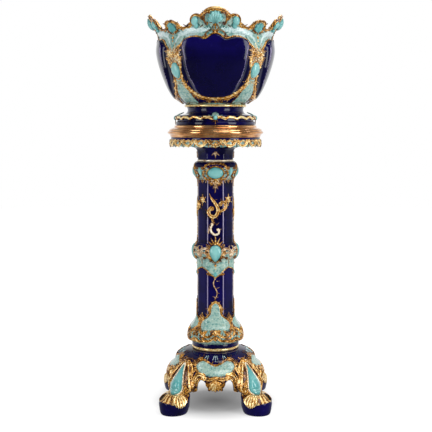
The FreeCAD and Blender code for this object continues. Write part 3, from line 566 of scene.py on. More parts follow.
def fanForm(ribs=7, rows=7, spread=1.25, scallop=0.10):
    # ribbed shell, its hinge at the origin, opening along +Y
    points = []
    columns = ribs * 4 + 1
    for i in range(rows):
        share = i / (rows - 1)
        for j in range(columns):
            turn = -spread + 2 * spread * j / (columns - 1)
            wave = 0.5 - 0.5 * math.cos(2 * math.pi * j / 4)
            reach = 0.08 + share * (0.92 - scallop * (1 - wave) * share)
            reach *= 1 - 0.16 * (turn / spread) ** 2
            rise = (0.16 + 0.34 * math.sin(math.pi * min(share * 0.80 + 0.12, 1.0))) * (0.68 + 0.32 * wave)
            rise *= 1 - 0.45 * (abs(turn) / spread) ** 4
            points.append((reach * math.sin(turn), reach * math.cos(turn), rise))
    points += [(x, y, -0.12) for x, y, h in points]
    return points, shellFaces(rows, columns)


def flowerForm(petals=6):
    points = []
    around = petals * 4
    for radius, rise in ((1.0, -0.25), (1.0, 0.12), (0.72, 0.42), (0.40, 0.22), (0.26, 0.50)):
        for turn in circle(around):
            wave = 0.5 + 0.5 * math.cos(petals * turn)
            reach = radius * (1 - 0.30 * (1 - wave) * min(radius, 1.0) ** 2)
            points.append((reach * math.cos(turn), reach * math.sin(turn), rise * (0.75 + 0.25 * wave)
                           if rise > 0 else rise))
    polygons = ringFaces(5, around, False)
    points.append((0, 0, 0.58))
    polygons += [(4 * around + j, 4 * around + (j + 1) % around, len(points) - 1) for j in range(around)]
    polygons.append(tuple(range(around - 1, -1, -1)))
    return points, polygons


forms = {"leaf": formObject("leafForm", *leafForm()), "bead": formObject("beadForm", *domeForm()),
         "fan": formObject("fanForm", *fanForm()), "stone": formObject("stoneForm", *domeForm(36, 12)),
         "flower": formObject("flowerForm", *flowerForm())}


def curlEnd(point, heading, radius, hand, turns=1.15):  # tightening spiral that carries a line on
    spots, spot, left = [], np.array(point, float), turns * 2 * math.pi
    total = left
    while left > 0:
        reach = radius * (0.30 + 0.70 * left / total)
        step = 0.22
        spot = spot + reach * step * np.array([math.cos(heading), math.sin(heading)])
        heading += hand * step
        left -= step
        spots.append(spot)
    return spots


def scroll(points, width, start=None, end=None, taper=0.55, spacing=2.2):
    # line through (x, z) points with a curl at either end, given as (radius, hand)
    # width is the half width in the middle, taper the share of it at the two ends
    line = smoothLine(points, 24)
    parts = [line]
    if end:
        way = line[-1] - line[-2]
        parts.append(np.array(curlEnd(line[-1], math.atan2(way[1], way[0]), end[0], end[1])))
    if start:
        way = line[0] - line[1]
        parts.insert(0, np.array(curlEnd(line[0], math.atan2(way[1], way[0]), start[0], start[1]))[::-1])
    whole = np.vstack(parts)
    run = np.r_[0, np.cumsum(np.linalg.norm(np.diff(whole, axis=0), axis=1))]
    count = max(int(run[-1] / spacing), 8)
    at = np.linspace(0, run[-1], count)
    share = at / run[-1]
    body = np.sin(np.pi * np.clip(share, 0, 1)) ** 0.6
    widths = width * (taper + (1 - taper) * body)
    return np.stack([np.interp(at, run, whole[:, 0]), np.interp(at, run, whole[:, 1]), widths], 1)


def stroke(points, width, ends, spacing=2.0):  # plain tapered line
    span = np.linalg.norm(np.diff(np.array(points, float), axis=0), axis=1).sum()
    line = smoothLine(points, max(int(span / spacing), 8))
    share = np.linspace(0, 1, len(line))
    return np.c_[line, width * (ends + (1 - ends) * np.sin(np.pi * share) ** 0.5)]


def swept(paths, section, rise=1.0):
    # flat relief of several paths; each is an array of (x, z, half width) or (array, closed)
    points, edges, widths = [], [], []
    for path in paths:
        line, closed = path if isinstance(path, tuple) else (path, False)
        first = len(points)
        points += [(x, z, 0) for x, z, _ in line]
        widths += list(line[:, 2])
        edges += [(first + i, first + i + 1) for i in range(len(line) - 1)]
        if closed:
            edges.append((first + len(line) - 1, first))
    spots, polygons = runTree(sweepGroup, points, edges, [("width", "FLOAT", widths)],
                              {"Section": sections[section], "Scale": 1.0, "Material": gilt})
    if volumeOf(spots, [p for p in polygons if len(p) == 4]) < 0:
        polygons = [p[::-1] for p in polygons]
    if spots[:, 2].max() < -spots[:, 2].min():
        spots = spots * [1, 1, -1]
        polygons = [p[::-1] for p in polygons]
    return spots * [1, 1, rise], polygons


def stamped(stamps, form, rise=1.0):
    # stamps are (x, z, turn in degrees from +z, width, length), or (x, z, radius) for a round one
    stamps = [s if len(s) > 3 else (s[0], s[1], 0, s[2], s[2]) for s in stamps]
    points = [(s[0], s[1], 0) for s in stamps]
    turns = [math.radians(-s[2]) for s in stamps]
    sizes = [(s[3], s[4], 0.5 * (s[3] + s[4])) for s in stamps]
    layers = [("turn", "FLOAT", turns), ("size", "FLOAT_VECTOR", sizes)]
    spots, polygons = runTree(stampGroup, points, [], layers,
                              {"Form": forms[form], "Scale": 1.0, "Material": gilt})
    if volumeOf(spots, [p for p in polygons if len(p) in (3, 4)]) < 0:
        polygons = [p[::-1] for p in polygons]
    return spots * [1, 1, rise], polygons


def mirroredFlat(part):
    spots, polygons = part
    return spots * [-1, 1, 1], [p[::-1] for p in polygons]


def bothSides(part):
    return joined([part, mirroredFlat(part)])


def layer(kind, rise, entries):
    # one layer of a relief: stamps of a form, or scroll lines swept with a section
    if kind in forms:
        return stamped(entries, kind, rise)
    return swept([scroll(*entry) if isinstance(entry[0], list) else entry for entry in entries], kind, rise)


def cast(sides=(), middle=()):
    # a relief in layers of (form or section, rise, stamps or lines), its sides mirrored
    return joined([bothSides(layer(*entry)) for entry in sides] + [layer(*entry) for entry in middle])


def pillow(outline, peak, ramp, spacing=3.5, sink=1.5, shape=None):
    # domed patch over a closed outline: peak is its height, ramp the way in from the edge to reach it
    outline = np.asarray(outline, float)[:, :2]
    count = len(outline)
    low, high = outline.min(0), outline.max(0)
    xs = np.arange(low[0] + spacing / 2, high[0], spacing)
    zs = np.arange(low[1] + spacing / 2, high[1], spacing * 0.87)
    grid = np.array([(x + (0.5 * spacing if i % 2 else 0), z) for i, z in enumerate(zs) for x in xs])
    inside, away = insideOf(grid, outline)
    grid = grid[inside & (away > 0.45 * spacing)]
    every = np.vstack([outline, grid])
    result = delaunay_2d_cdt([Vector(p) for p in every], [], [list(range(count))], 1, 1e-6)
    flat = np.array([(v.x, v.y) for v in result[0]])
    triangles = [tuple(f) for f in result[2]]
    away = insideOf(flat, outline)[1]
    share = np.clip(away / ramp, 0, 1)
    lift = peak * np.sqrt(1 - (1 - share) ** 2)
    if shape is not None:
        lift = shape(flat, lift)
    corner = flat[np.array(triangles)]
    cross = (corner[:, 1, 0] - corner[:, 0, 0]) * (corner[:, 2, 1] - corner[:, 0, 1]) - (
        corner[:, 1, 1] - corner[:, 0, 1]) * (corner[:, 2, 0] - corner[:, 0, 0])
    triangles = [t if c > 0 else t[::-1] for t, c in zip(triangles, cross)]
    size = len(flat)
    points = np.vstack([np.c_[flat, lift], np.c_[flat, np.full(size, -sink)]])
    polygons = list(triangles) + [(c + size, b + size, a + size) for a, b, c in triangles]
    edges = {}
    for a, b, c in triangles:
        for one, two in ((a, b), (b, c), (c, a)):
            edges[(one, two)] = True
    for one, two in edges:
        if (two, one) not in edges:
            polygons.append((two, one, one + size, two + size))
    return points, polygons


def insideOf(spots, outline):  # which flat spots are inside a closed outline, and how far each is from it
    a, b = outline, np.roll(outline, -1, axis=0)
    inside = np.zeros(len(spots), bool)
    away = np.full(len(spots), 1e9)
    for first in range(0, len(spots), 4000):
        p = spots[first:first + 4000, None]
        crossing = ((a[:, 1] > p[..., 1]) != (b[:, 1] > p[..., 1]))
        with np.errstate(divide="ignore", invalid="ignore"):
            at = a[:, 0] + (p[..., 1] - a[:, 1]) * (b[:, 0] - a[:, 0]) / (b[:, 1] - a[:, 1])
        inside[first:first + 4000] = (crossing & (p[..., 0] < at)).sum(1) % 2 == 1
        along = np.clip(((p - a) * (b - a)).sum(-1) / np.maximum(((b - a) ** 2).sum(-1), 1e-9), 0, 1)
        near = a + along[..., None] * (b - a)
        away[first:first + 4000] = np.linalg.norm(p - near, axis=-1).min(1)
    return inside, away


def setOut(outline, distance):  # closed outline moved outwards
    way = np.roll(outline, -1, 0) - np.roll(outline, 1, 0)
    way /= np.linalg.norm(way, axis=1)[:, None]
    step = distance * np.stack([-way[:, 1], way[:, 0]], 1)
    wide = [np.linalg.norm(line - line.mean(0), axis=1).mean() for line in (outline + step, outline)]
    return outline + step if wide[0] >= wide[1] else outline - step


def mirrorLine(points):  # closed outline from its right half, which starts and ends on the centre line
    return list(points) + [(-x, z) for x, z in points[::-1] if x > 1e-6]


glazes = {
    "cobalt": (cobalt, "cobalt_glaze"), "mottled": (mottled, "mottled_glaze"), "gilt": (gilt, "gilt_glaze"),
    "paleMottled": (paleMottled, "mottled_glaze"), "sprig": (paleMottled, "gilt_glaze"),
    "turquoise": (turquoise, "turquoise_glaze"), "copperGilt": (copperGilt, "copper_gilt_glaze"),
    "warmGilt": (warmGilt, "gilt_glaze"), "paleGilt": (paleGilt, "gilt_glaze")}


def solid(name, part, glaze, relief, *nodes, rides="stand"):
    # a piece with its glaze and the CAD nodes it stands for
    material, finish = glazes[glaze]
    piece = meshObject(name, *part, material, relief + np.zeros(len(part[0])))
    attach(piece, rides)
    if nodes:
        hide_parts(*nodes)


def lay(name, body, part, glaze, places, peak, *nodes, rides="stand", wrap=onBody, paintedHighlight=None):
    # one piece of a flat relief laid on a body at several angles; peak is the height at which the relief
    # attribute is full, which on gilt and cobalt gets the painted highlight; paintedHighlight replaces the
    # relief when given
    spots, polygons = part
    relief = np.tile(np.clip(spots[:, 2] / peak, 0, 1) if paintedHighlight is None else paintedHighlight, len(places))
    solid(name, joined([(wrap(body, spots, angle), polygons) for angle in places]), glaze, relief, *nodes,
          rides=rides)


faces4 = [i * quarter for i in range(4)]
corners4 = [quarter / 2 + i * quarter for i in range(4)]
sideNames = {"front": 0.0, "right": quarter, "back": 2 * quarter, "left": 3 * quarter}
cornerNames = {"front_right": 0.5 * quarter, "back_right": 1.5 * quarter, "back_left": 2.5 * quarter,
               "front_left": 3.5 * quarter}
print("relief tools ready")


# ---- bowl of the jardiniere
bowlValues = {
    "profile": [(93, 0), (128.7, 27.5), (157.6, 83.2), (178, 157), (175.5, 209), (195, 246.4), (208, 277)],
    "wall": 9.0, "floor": 12.0, "lip": 4.9, "around": 512, "rows": 66, "lipAround": 720,
    "rimDrop": [
        (0, 0), (3.5, 1.2), (7.2, 6), (10.5, 15.5), (13, 21), (15, 19.5), (17.5, 19), (19.8, 23.5),
        (21.3, 33), (23.3, 45), (26, 51.5), (30, 53), (33.5, 51.5), (36.5, 46), (39, 37), (41.5, 32.5),
        (45, 31.5)]}
bowlBody = turnedBody([(r, bowlLow + z) for r, z in bowlValues["profile"]])


def rimHeight(turns):  # middle of the lip, which repeats on the four faces
    line = bowlValues["rimDrop"]
    line = smoothLine([(-a, d) for a, d in line[:0:-1]] + line, 400)
    folded = (np.degrees(turns) + 45) % 90 - 45
    return bowlHigh - bowlValues["lip"] - 0.3 - np.interp(folded, line[:, 0], line[:, 1])


def makeBowl():
    v = bowlValues
    turns = circle(v["around"])
    rim, wall, floor = rimHeight(turns), v["wall"], bowlLow + v["floor"]

    def ring(radius, z):
        return ringAt(radius, turns, z)
    rings = [ring(92.0, bowlLow)]
    for share in np.linspace(0.006, 1, v["rows"]):
        z = bowlLow + share * (rim - bowlLow)
        rings.append(ring(bowlBody(turns, z), z))
    top = bowlBody(turns, rim)
    for angle in np.linspace(0.3, math.pi - 0.3, 5):
        rings.append(ring(top - wall / 2 + wall / 2 * math.cos(angle), rim + wall / 2 * math.sin(angle)))
    for share in np.linspace(0, 1, 34):
        z = rim + share * (floor + 12 - rim)
        rings.append(ring(bowlBody(turns, z + 3) - wall * (1 + 0.35 * share), z))
    inner = rings[-1][:, :2]
    last = np.linalg.norm(inner, axis=1)
    rings += [ring(last - 6, floor + 5), ring(last - 16, floor + 1), ring(last - 34, floor)]
    outside = (v["rows"] + 1) * len(turns)
    relief = np.r_[np.full(outside, 0.6), np.zeros(len(rings) * len(turns) - outside), [0.6, 0.0]]
    solid("bowl_shell", ringSolid(np.array(rings)), "mottled", relief, "bowl", rides="jardiniere")


def makeLip():  # gilt lip that follows the rim
    v = bowlValues
    turns = circle(v["lipAround"])
    rim = rimHeight(turns)
    radius = bowlBody(turns, rim) - v["wall"] / 2
    spine = ringAt(radius, turns, rim)
    along = np.roll(spine, -1, 0) - np.roll(spine, 1, 0)
    along /= np.linalg.norm(along, axis=1)[:, None]
    out = np.stack([np.sin(turns), -np.cos(turns), 0 * turns], 1)
    out -= along * (out * along).sum(1)[:, None]
    out /= np.linalg.norm(out, axis=1)[:, None]
    up = np.cross(out, along)
    rings = [spine + v["lip"] * (1.12 * math.cos(a) * out + math.sin(a) * up) for a in circle(12)]
    solid("bowl_lip", ringSolid(np.array(rings).transpose(1, 0, 2), True), "gilt", 0.55, rides="jardiniere")


makeBowl()
makeLip()
print("bowl made")

panelValues = {
    "outline": [
        (0, 1145), (12, 1141), (22, 1134), (29, 1129.5), (36, 1130.5), (43, 1133), (53, 1136),
        (64, 1136.5), (76, 1134), (87, 1128), (96, 1120), (103, 1110), (108, 1099), (108.5, 1088),
        (104, 1076), (101, 1062), (102, 1044), (98, 1028), (92, 1012), (84, 1000), (74, 990), (62, 980),
        (48, 972.5), (30, 966.5), (0, 963)],
    "ridge": [
        (18, 960), (44, 975), (53, 988), (70.5, 1021), (80, 1052), (89, 1104), (90, 1118), (84, 1132),
        (60, 1150)],
    "rim": 3.0, "field": 5.4, "flattening": 0.0012, "rimRamp": 4.5, "flute": 13.0, "spacing": 2.5}


def ridgeAt(z):
    line = np.array(panelValues["ridge"], float)
    return np.interp(z, line[:, 1], line[:, 0])


def panelPart():
    v = panelValues

    def shape(flat, lift):
        across, ridge = np.abs(flat[:, 0]), ridgeAt(flat[:, 1])
        field = v["field"] + v["flattening"] * np.minimum(across, ridge) ** 2
        share = np.clip((across - ridge) / v["flute"], 0, 1)
        return lift / v["rim"] * (v["rim"] + (field - v["rim"]) * (1 - share) ** 2)
    return pillow(smoothLine(mirrorLine(v["outline"]), 190, True), v["rim"], v["rimRamp"], v["spacing"],
                  1.5, shape)


def ridgeHighlight(spots):  # relief of a panel: painted highlight lines along the two ridges, and a lower value towards the bottom that makes the cobalt darker there
    z = spots[:, 1]
    ends = np.clip((z - 976) / 22, 0, 1) * np.clip((1122 - z) / 14, 0, 1)
    width = 1.5 + 1.6 * np.clip((z - 1060) / 50, 0, 1)
    depth = 0.08 + 0.42 * np.clip((z - 1080) / 40, 0, 1)  # darker towards the bottom of the panel
    return np.maximum(depth, ends * np.exp(-((np.abs(spots[:, 0]) - ridgeAt(z) + 0.5) / width) ** 2))


def framePart():
    edge = setOut(smoothLine(mirrorLine(panelValues["outline"]), 200, True), 2.2)
    ring = (np.c_[edge, 2.4 + 0.9 * (edge[:, 1] < 1100)], True)
    return cast(sides=[
        ("scroll", 1.15, [
            ([(113, 1100), (111, 1088), (106, 1076), (104, 1064)], 3.6, (4.5, -1), (4.0, 1)),
            ([(106, 1058), (106, 1044), (101, 1028), (95, 1014)], 3.8, (4.0, 1), (5.0, 1)),
            ([(97, 1008), (88, 997), (76, 986), (62, 977)], 3.8, (4.5, -1), (4.6, -1)),
            ([(60, 972), (48, 966), (34, 960.5), (18, 959.5)], 3.6, (4.0, -1), (4.4, -1)),
            ([(18, 955), (10, 958), (4, 963)], 2.6, (3.0, -1), None),
            ([(84, 1133), (93, 1126), (100, 1118)], 2.6, (3.2, 1), (3.2, -1)),
            ([(36, 1134), (30, 1130), (24, 1136)], 2.2, (2.6, 1), (2.6, 1))]),
        ("leaf", 0.8, [
            (106, 1074, -100, 7, 20), (105, 1060, -70, 7, 20), (100, 1034, -60, 7, 18),
            (92, 1010, -50, 8, 22), (82, 996, -80, 8, 22), (74, 986, -40, 8, 22), (62, 978, -66, 7, 20),
            (50, 970, -30, 7, 18), (110, 1084, 60, 7, 20), (98, 1006, 120, 7, 20),
            (76, 980, 150, 7, 18), (102, 1104, -62, 5.5, 15), (104, 1094, -88, 5.5, 15),
            (101, 1083, -108, 5, 13), (110, 1106, -20, 5.5, 15), (104, 1068, -75, 5, 12),
            (100, 1050, -100, 4.5, 12), (98, 1036, -82, 4.5, 12), (101, 1022, 70, 5.5, 13),
            (94, 1018, -60, 6, 15), (88, 1006, -62, 6, 15), (84, 1000, -35, 6, 16),
            (78, 993, -12, 6.5, 18), (68, 984, -28, 6, 15), (60, 980, 4, 6.5, 17),
            (50, 974, -48, 6, 14), (44, 971, -12, 5.5, 13), (32, 967, -42, 5, 12),
            (22, 964, -70, 4.5, 10), (27, 1133, 30, 4.5, 11), (24, 1134, 78, 4, 10),
            (31, 1131, -20, 4.5, 10), (90, 1129, 40, 5, 12), (96, 1122, 12, 5, 12),
            (84, 1130, 86, 4.5, 11)]),
        ("bead", 0.9, [
            (112, 1112, 2.8), (108, 1032, 2.8), (104, 1010, 3), (56, 968, 3), (90, 992, 2.8)])], middle=[
        ("rib", 1.15, [ring]),
        ("fan", 0.5, [(0, 953, 0, 11, 14)]),
        ("bead", 0.9, [(0, 950, 3.4)])])


panel, panelFrame = panelPart(), framePart()
for side, angle in sideNames.items():
    lay("panel_" + side, bowlBody, panel, "cobalt", [angle], 7, "cushion_" + side, rides="jardiniere",
        paintedHighlight=ridgeHighlight(panel[0]))
    lay("panel_frame_" + side, bowlBody, panelFrame, "gilt", [angle], 5.5, "cushion_frame_" + side,
        rides="jardiniere")
lower = smoothLine([
    (0, 946.5), (60, 946.5), (74, 962), (90, 982), (112, 1008), (96, 1010), (50, 996), (0, 992)], 60)
lowerGround = pillow(np.vstack([lower, (lower * [-1, 1])[-2:0:-1]]), 1.3, 2.0, 5.0)
lay("panel_lower_grounds", bowlBody, lowerGround, "cobalt", faces4, 6, rides="jardiniere")
rimLine = smoothLine(mirrorLine(panelValues["outline"]), 200, True)[:, :2]
sprigs = [(x * 1.03, 1050 + (z - 1050) * 1.03, math.degrees(math.atan2(x, z - 1050)) + 48 - 96 * (k % 2),
           7.5, 17) for k, (x, z) in enumerate(rimLine[::4]) if z < 1096]
rimBeads = [(x, z, 4.6) for x, z in rimLine[2::8] if z < 1096]
frameSprigs = cast(middle=[("leaf", 0.9, sprigs), ("bead", 0.9, rimBeads)])
lay("frame_gilt_leaves", bowlBody, frameSprigs, "warmGilt", faces4, 6, rides="jardiniere")
border = smoothLine([(110, 1074, 4), (117, 1090, 8), (119, 1111, 9), (111, 1133, 9.5), (92.5, 1150, 9.5),
                     (64, 1155, 9), (34, 1156, 7), (16, 1158, 4)], 60)
lay("panel_pale_borders", bowlBody, bothSides(swept([border], "rib", 0.32)), "paleMottled", faces4, 4,
    rides="jardiniere")
print("bowl panels made")

strapValues = {
    "half": [
        (30, 948), (29.5, 957), (28.5, 968), (26.5, 980), (22.5, 994), (17, 1009), (13.5, 1023),
        (12.5, 1040), (18, 1060), (18, 1077), (13.5, 1094), (25, 1113), (40, 1128), (46, 1140),
        (30, 1148)],
    "height": 2.6}


def strapPart():
    line = smoothLine([(0, 949)] + strapValues["half"] + [(0, 1150)], 120)
    outline = np.vstack([line[:, :2], (line * [-1, 1])[-2:0:-1]])
    return pillow(outline, strapValues["height"], 7.0, 4.0)


def cornerGiltPart():
    rim = [(0, 1069, 3), (13, 1062, 3), (19.5, 1047, 3), (17, 1031, 3), (9, 1021, 3), (0, 1018, 3)]
    rim = smoothLine(rim + [(-x, z, w) for x, z, w in rim[-2:0:-1]], 60, True)
    return cast(sides=[
        ("scroll", 1.2, [
            ([(9, 1070), (16, 1062), (17, 1048), (15, 1034), (10, 1022)], 2.9, (3.6, 1), (4.0, -1)),
            ([(6, 1014), (14, 1006), (24, 998), (36, 988)], 2.6, (3.2, 1), (3.6, -1)),
            ([(31, 948), (30, 962), (27.5, 979), (22.5, 995), (15.5, 1012)], 2.3, None, None),
            ([(4, 1122), (12, 1116), (17, 1106), (12, 1096)], 2.8, (3.2, 1), (3.4, 1)),
            ([(12, 1153), (21, 1160), (24, 1172), (17, 1182), (6, 1185)], 3.2, (4.0, -1), (3.0, 1)),
            ([(26, 1164), (36, 1160), (48, 1156), (58, 1158)], 2.4, (3.0, -1), (3.0, 1))]),
        ("leaf", 0.95, [
            (5, 1090, 70, 10, 36), (6, 1083, 94, 9, 33), (6, 1096, 47, 9, 30), (6, 1077, 114, 8, 26),
            (4, 1100, 24, 8, 26), (10, 1066, 84, 7, 22), (9, 1022, 124, 8, 24), (12, 1013, 98, 8, 26),
            (18, 1004, 126, 8, 24), (10, 1030, 64, 6, 15), (26, 992, 100, 7, 20), (5, 1118, 36, 6, 18),
            (6, 1127, 70, 6, 18), (9, 1070, 28, 8, 24), (13, 1068, 58, 7, 20), (12, 1064, 88, 6, 15),
            (5, 1086, 20, 6, 17), (8, 1020, 150, 6.5, 17), (12, 1026, 112, 6, 15),
            (14, 1008, 112, 5, 13), (24, 1000, 150, 5, 13), (34, 990, 120, 4.5, 12),
            (16, 1044, 96, 5, 13), (12, 1104, 60, 5.5, 13), (7, 1118, 150, 5, 13),
            (9, 1150, 140, 5, 13), (16, 1156, 100, 5, 13), (22, 1176, 66, 5, 12)])], middle=[
        ("leaf", 0.75, [
            (0, 1070, 0, 10, 30), (0, 1020, 180, 8.5, 26), (0, 1124, 180, 7, 20), (0, 1152, 180, 6, 15),
            (0, 992, 180, 5, 15)]),
        ("bead", 0.95, [(0, 1147, 3.8), (0, 1137, 5.4), (0, 1127, 4), (0, 1101, 3.4), (0, 1071, 3.6)]),
        ("rib", 1.1, [(rim, True)]),
        ("flower", 0.9, [(0, 1090, 11)])])


blossomValues = {"count": 18, "turn": 137.5, "middle": (15, 1082), "reach": (16, 26), "size": 8.0}


def blossomPart(odd):  # flowers packed over the corner in a spiral, every second one of the other gilding
    v = blossomValues
    spots = []
    for k in range(odd, v["count"], 2):
        share, turn = math.sqrt((k + 0.5) / v["count"]), math.radians(v["turn"] * k)
        spots.append((v["middle"][0] + v["reach"][0] * share * math.cos(turn),
                      v["middle"][1] + v["reach"][1] * share * math.sin(turn), 0, v["size"], v["size"]))
    return bothSides(stamped(spots, "flower", 1.1))


lay("corner_pale_blossoms", bowlBody, blossomPart(0), "paleGilt", corners4, 7, rides="jardiniere")
lay("corner_gilt_blossoms", bowlBody, blossomPart(1), "warmGilt", corners4, 7, rides="jardiniere")
strapRelief, cornerGilt = strapPart(), cornerGiltPart()
for corner, angle in cornerNames.items():
    lay("strap_" + corner, bowlBody, strapRelief, "mottled", [angle], 4, "corner_strap_" + corner,
        rides="jardiniere")
cornerStones = stamped([(0, 1044, 0, 18, 23)], "stone", 0.62)
lay("corner_stones", bowlBody, cornerStones, "turquoise", corners4, 9, "corner_gems", rides="jardiniere")
lay("corner_gilt_leaves", bowlBody, cornerGilt, "gilt", corners4, 6, "corner_crests", rides="jardiniere")
cornerShells = cast(sides=[
    ("leaf", 0.5, [(30, 1152, 60, 9, 22), (20, 1146, 100, 8, 22), (38, 1160, 74, 7, 18)])], middle=[
    ("fan", 0.45, [(0, 1151, 0, 21, 32)])])
lay("corner_shells", bowlBody, cornerShells, "turquoise", corners4, 9, rides="jardiniere")


def crestGiltPart():
    arch = smoothLine([(-45, 1193.5), (-37, 1200), (-25, 1207), (-13, 1210.5), (0, 1211.5), (13, 1210.5),
                       (25, 1207), (37, 1200), (45, 1193.5)], 60)
    arch = np.c_[arch, 4.3 - 1.2 * (np.abs(arch[:, 0]) / 45) ** 2]
    return cast(sides=[
        ("scroll", 1.2, [
            ([(29, 1173), (33, 1184), (31, 1196), (22, 1204)], 2.7, (4.0, -1), (3.0, 1)),
            ([(40, 1187), (46, 1194), (56, 1197), (67, 1193), (71, 1182), (66, 1172)],
             3.4, (4.2, -1), (5.0, -1)),
            ([(76, 1174), (84, 1166), (97, 1163), (112, 1165)], 2.6, (3.4, 1), (3.0, 1)),
            ([(5, 1150), (12, 1156), (22, 1152), (30, 1143)], 2.3, (3.0, -1), (3.2, -1))]),
        ("leaf", 0.8, [
            (3, 1173, 150, 6, 18), (6, 1176, 100, 5, 14), (3, 1152, 30, 5, 13), (34, 1180, 60, 5, 13),
            (30, 1200, 45, 4.5, 11), (48, 1188, 100, 5, 13), (74, 1176, 120, 5, 14),
            (84, 1167, 60, 4.5, 12), (98, 1165, 80, 4.5, 12), (58, 1168, 170, 5, 13),
            (36, 1170, 130, 5, 13)])], middle=[
        ("scroll", 1.25, [arch]),
        ("leaf", 0.8, [(0, 1176, 180, 8, 32), (0, 1146, 0, 5, 12)]),
        ("bead", 0.95, [(0, 1175, 4.4), (0, 1148, 3.6)])])


def crestTurquoisePart():
    return cast(sides=[
        ("stone", 0.95, [(60, 1181, 0, 10, 13), (56, 1168, 0, 7, 9)]),
        ("leaf", 0.45, [
            (8, 1152, 34, 9, 27), (12, 1150, 58, 8.5, 28), (16, 1146, 80, 7, 25), (22, 1160, 20, 7, 20),
            (40, 1158, 66, 7, 20), (44, 1166, 40, 6, 16)])], middle=[
        ("fan", 0.85, [(0, 1173, 0, 28, 36)])])


lay("crest_gilt_scrolls", bowlBody, crestGiltPart(), "gilt", faces4, 6, "crest_scrolls", rides="jardiniere")
lay("crest_turquoise_shells", bowlBody, crestTurquoisePart(), "turquoise", faces4, 10, "crest_shells",
    rides="jardiniere")
print("crests made")


# ---- foot of the jardiniere
footValues = {
    "outer": [
        (118, 0.0), (121.5, 0.4), (123.5, 2.5), (124, 6), (123.5, 9.5), (121.5, 11.6), (119, 12.6),
        (118.4, 15), (118.4, 27), (117, 29.4), (113, 31), (104, 32.6), (96, 35), (90, 39), (87, 44),
        (86.5, 49), (87.5, 53), (89.5, 56)],
    "inner": [(70, 56), (70, 46), (73, 42), (76, 34), (108, 20), (109, 2), (110, 0)], "waves": 20,
    "waveHeight": 2.4, "bandMiddle": 23.0, "bandRadius": 121.2, "bandDepth": 3.6, "bandHalf": 3.9,
    "bandAround": 480,
    "lean": [(123.5, 0), (124, 12), (124.6, 24), (119, 29), (108, 35), (98, 40), (93, 47)]}


def makeFoot():
    v = footValues
    section = np.vstack([smoothLine(v["outer"], 70), np.array(v["inner"], float)])
    section[:, 1] += footLow
    solid("jardiniere_foot", ringSolid(latheRings(section, 192), True), "cobalt", 0.5, "bowl_foot",
          rides="jardiniere")
    turns = circle(v["bandAround"])
    rings = []
    for a in circle(14):
        wave = v["waveHeight"] * np.sin(v["waves"] * turns) + 0.8 * np.sin(2 * v["waves"] * turns + 1)
        radius = v["bandRadius"] + v["bandDepth"] * math.cos(a) + 0.5 * np.sin(v["waves"] * turns + 1.5)
        rings.append(ringAt(radius, turns, footLow + v["bandMiddle"] + wave + v["bandHalf"] * math.sin(a)))
    relief = 0.35 + 0.5 * np.repeat(np.cos(circle(14)).clip(0), v["bandAround"])
    solid("foot_wave_band", ringSolid(np.array(rings), True), "gilt", relief, "foot_band",
          rides="jardiniere")
    bead = [(72, 0), (93, 0), (95.6, 1.2), (97, 3.5), (95.6, 5.8), (93, 7), (72, 7)]
    solid("foot_gilt_bead", ringSolid(latheRings([(r, footBeadLow + z) for r, z in bead], 160), True),
          "gilt", 0.75, "foot_bead", rides="jardiniere")
    lean = turnedBody([(r, footLow + z) for r, z in v["lean"]])
    lay("foot_stones", lean, stamped([(0, footLow + 23, 6.6)], "stone", 0.8), "turquoise", faces4,
        6, "foot_gems", rides="jardiniere")
    shells = cast(sides=[
        ("leaf", 0.5, [(9, footLow + 26, 70, 5, 14), (14, footLow + 25, 88, 4.5, 14)])], middle=[
        ("fan", 0.45, [(0, footLow + 25, 0, 14, 15)])])
    lay("foot_shells", lean, shells, "mottled", faces4, 5, rides="jardiniere")
    drops = cast(sides=[
        ("leaf", 0.8, [(3, footLow + 17, 150, 4.5, 10)]),
        ("rib", 1.0, [
            ([(9, footLow + 22), (18, footLow + 26), (28, footLow + 22), (38, footLow + 23)],
             2.4, (2.6, -1), (2.4, 1))])], middle=[
        ("leaf", 0.8, [(0, footLow + 17, 180, 6, 15)])])
    lay("foot_gilt_drops", lean, drops, "gilt", faces4, 4, rides="jardiniere")


makeFoot()
print("foot of the jardiniere made")

# ---- gilt plate and capital of the stand
plateValues = {
    "profile": [
        (138.6, 0), (140, 1.5), (141, 5), (143, 8), (146, 10.4), (148.4, 12), (149.2, 14.5), (148.6, 17),
        (146, 18.6), (144.6, 20.5), (144.4, 22.4), (142, 24.6), (138, 26.6), (133.4, 28.2),
        (129.6, 29.6), (128, 31), (127.8, 34.5), (126.6, 36.2), (124, 36.5)]}
section = smoothLine(plateValues["profile"], 90)
section[:, 1] = plateLow + np.clip(section[:, 1], 0, plateHigh - plateLow)
solid("gilt_top_plate", ringSolid(latheRings(section, 224)), "copperGilt", 0.62, "top_plate")


def softOctagon(turn, half, sharpness=46.0, diagonal=1.036):
    # eight flats with rounded edges, those on the diagonals a little further out
    total = 0.0
    for k in range(8):
        reach = half * (diagonal if k % 2 else 1.0)
        total = total + (np.clip(np.cos(turn - k * quarter / 2), 1e-4, 1) / reach) ** sharpness
    return total ** (-1 / sharpness)


capitalValues = {
    "profile": [
        (54.5, 0), (55.5, 2), (55.5, 12), (56.2, 20), (58.5, 28), (64, 35), (76, 39), (100, 40.6),
        (128, 41.6), (134.5, 43), (136.5, 46), (136.5, 59), (137.5, 61), (139, 62.5), (139, 68),
        (138, 69)],
    "hollow": [(36, 69), (36, 14), (6.6, 14), (6.6, 0)], "frillRadius": 139.5, "scrolls": 20,
    "under": [(55.5, 0), (56, 20), (60, 30), (92, 36), (134, 41), (141, 48), (141, 64)],
    "front": [(133, -18), (139, -6), (141.5, 2), (141, 18), (138, 30)]}


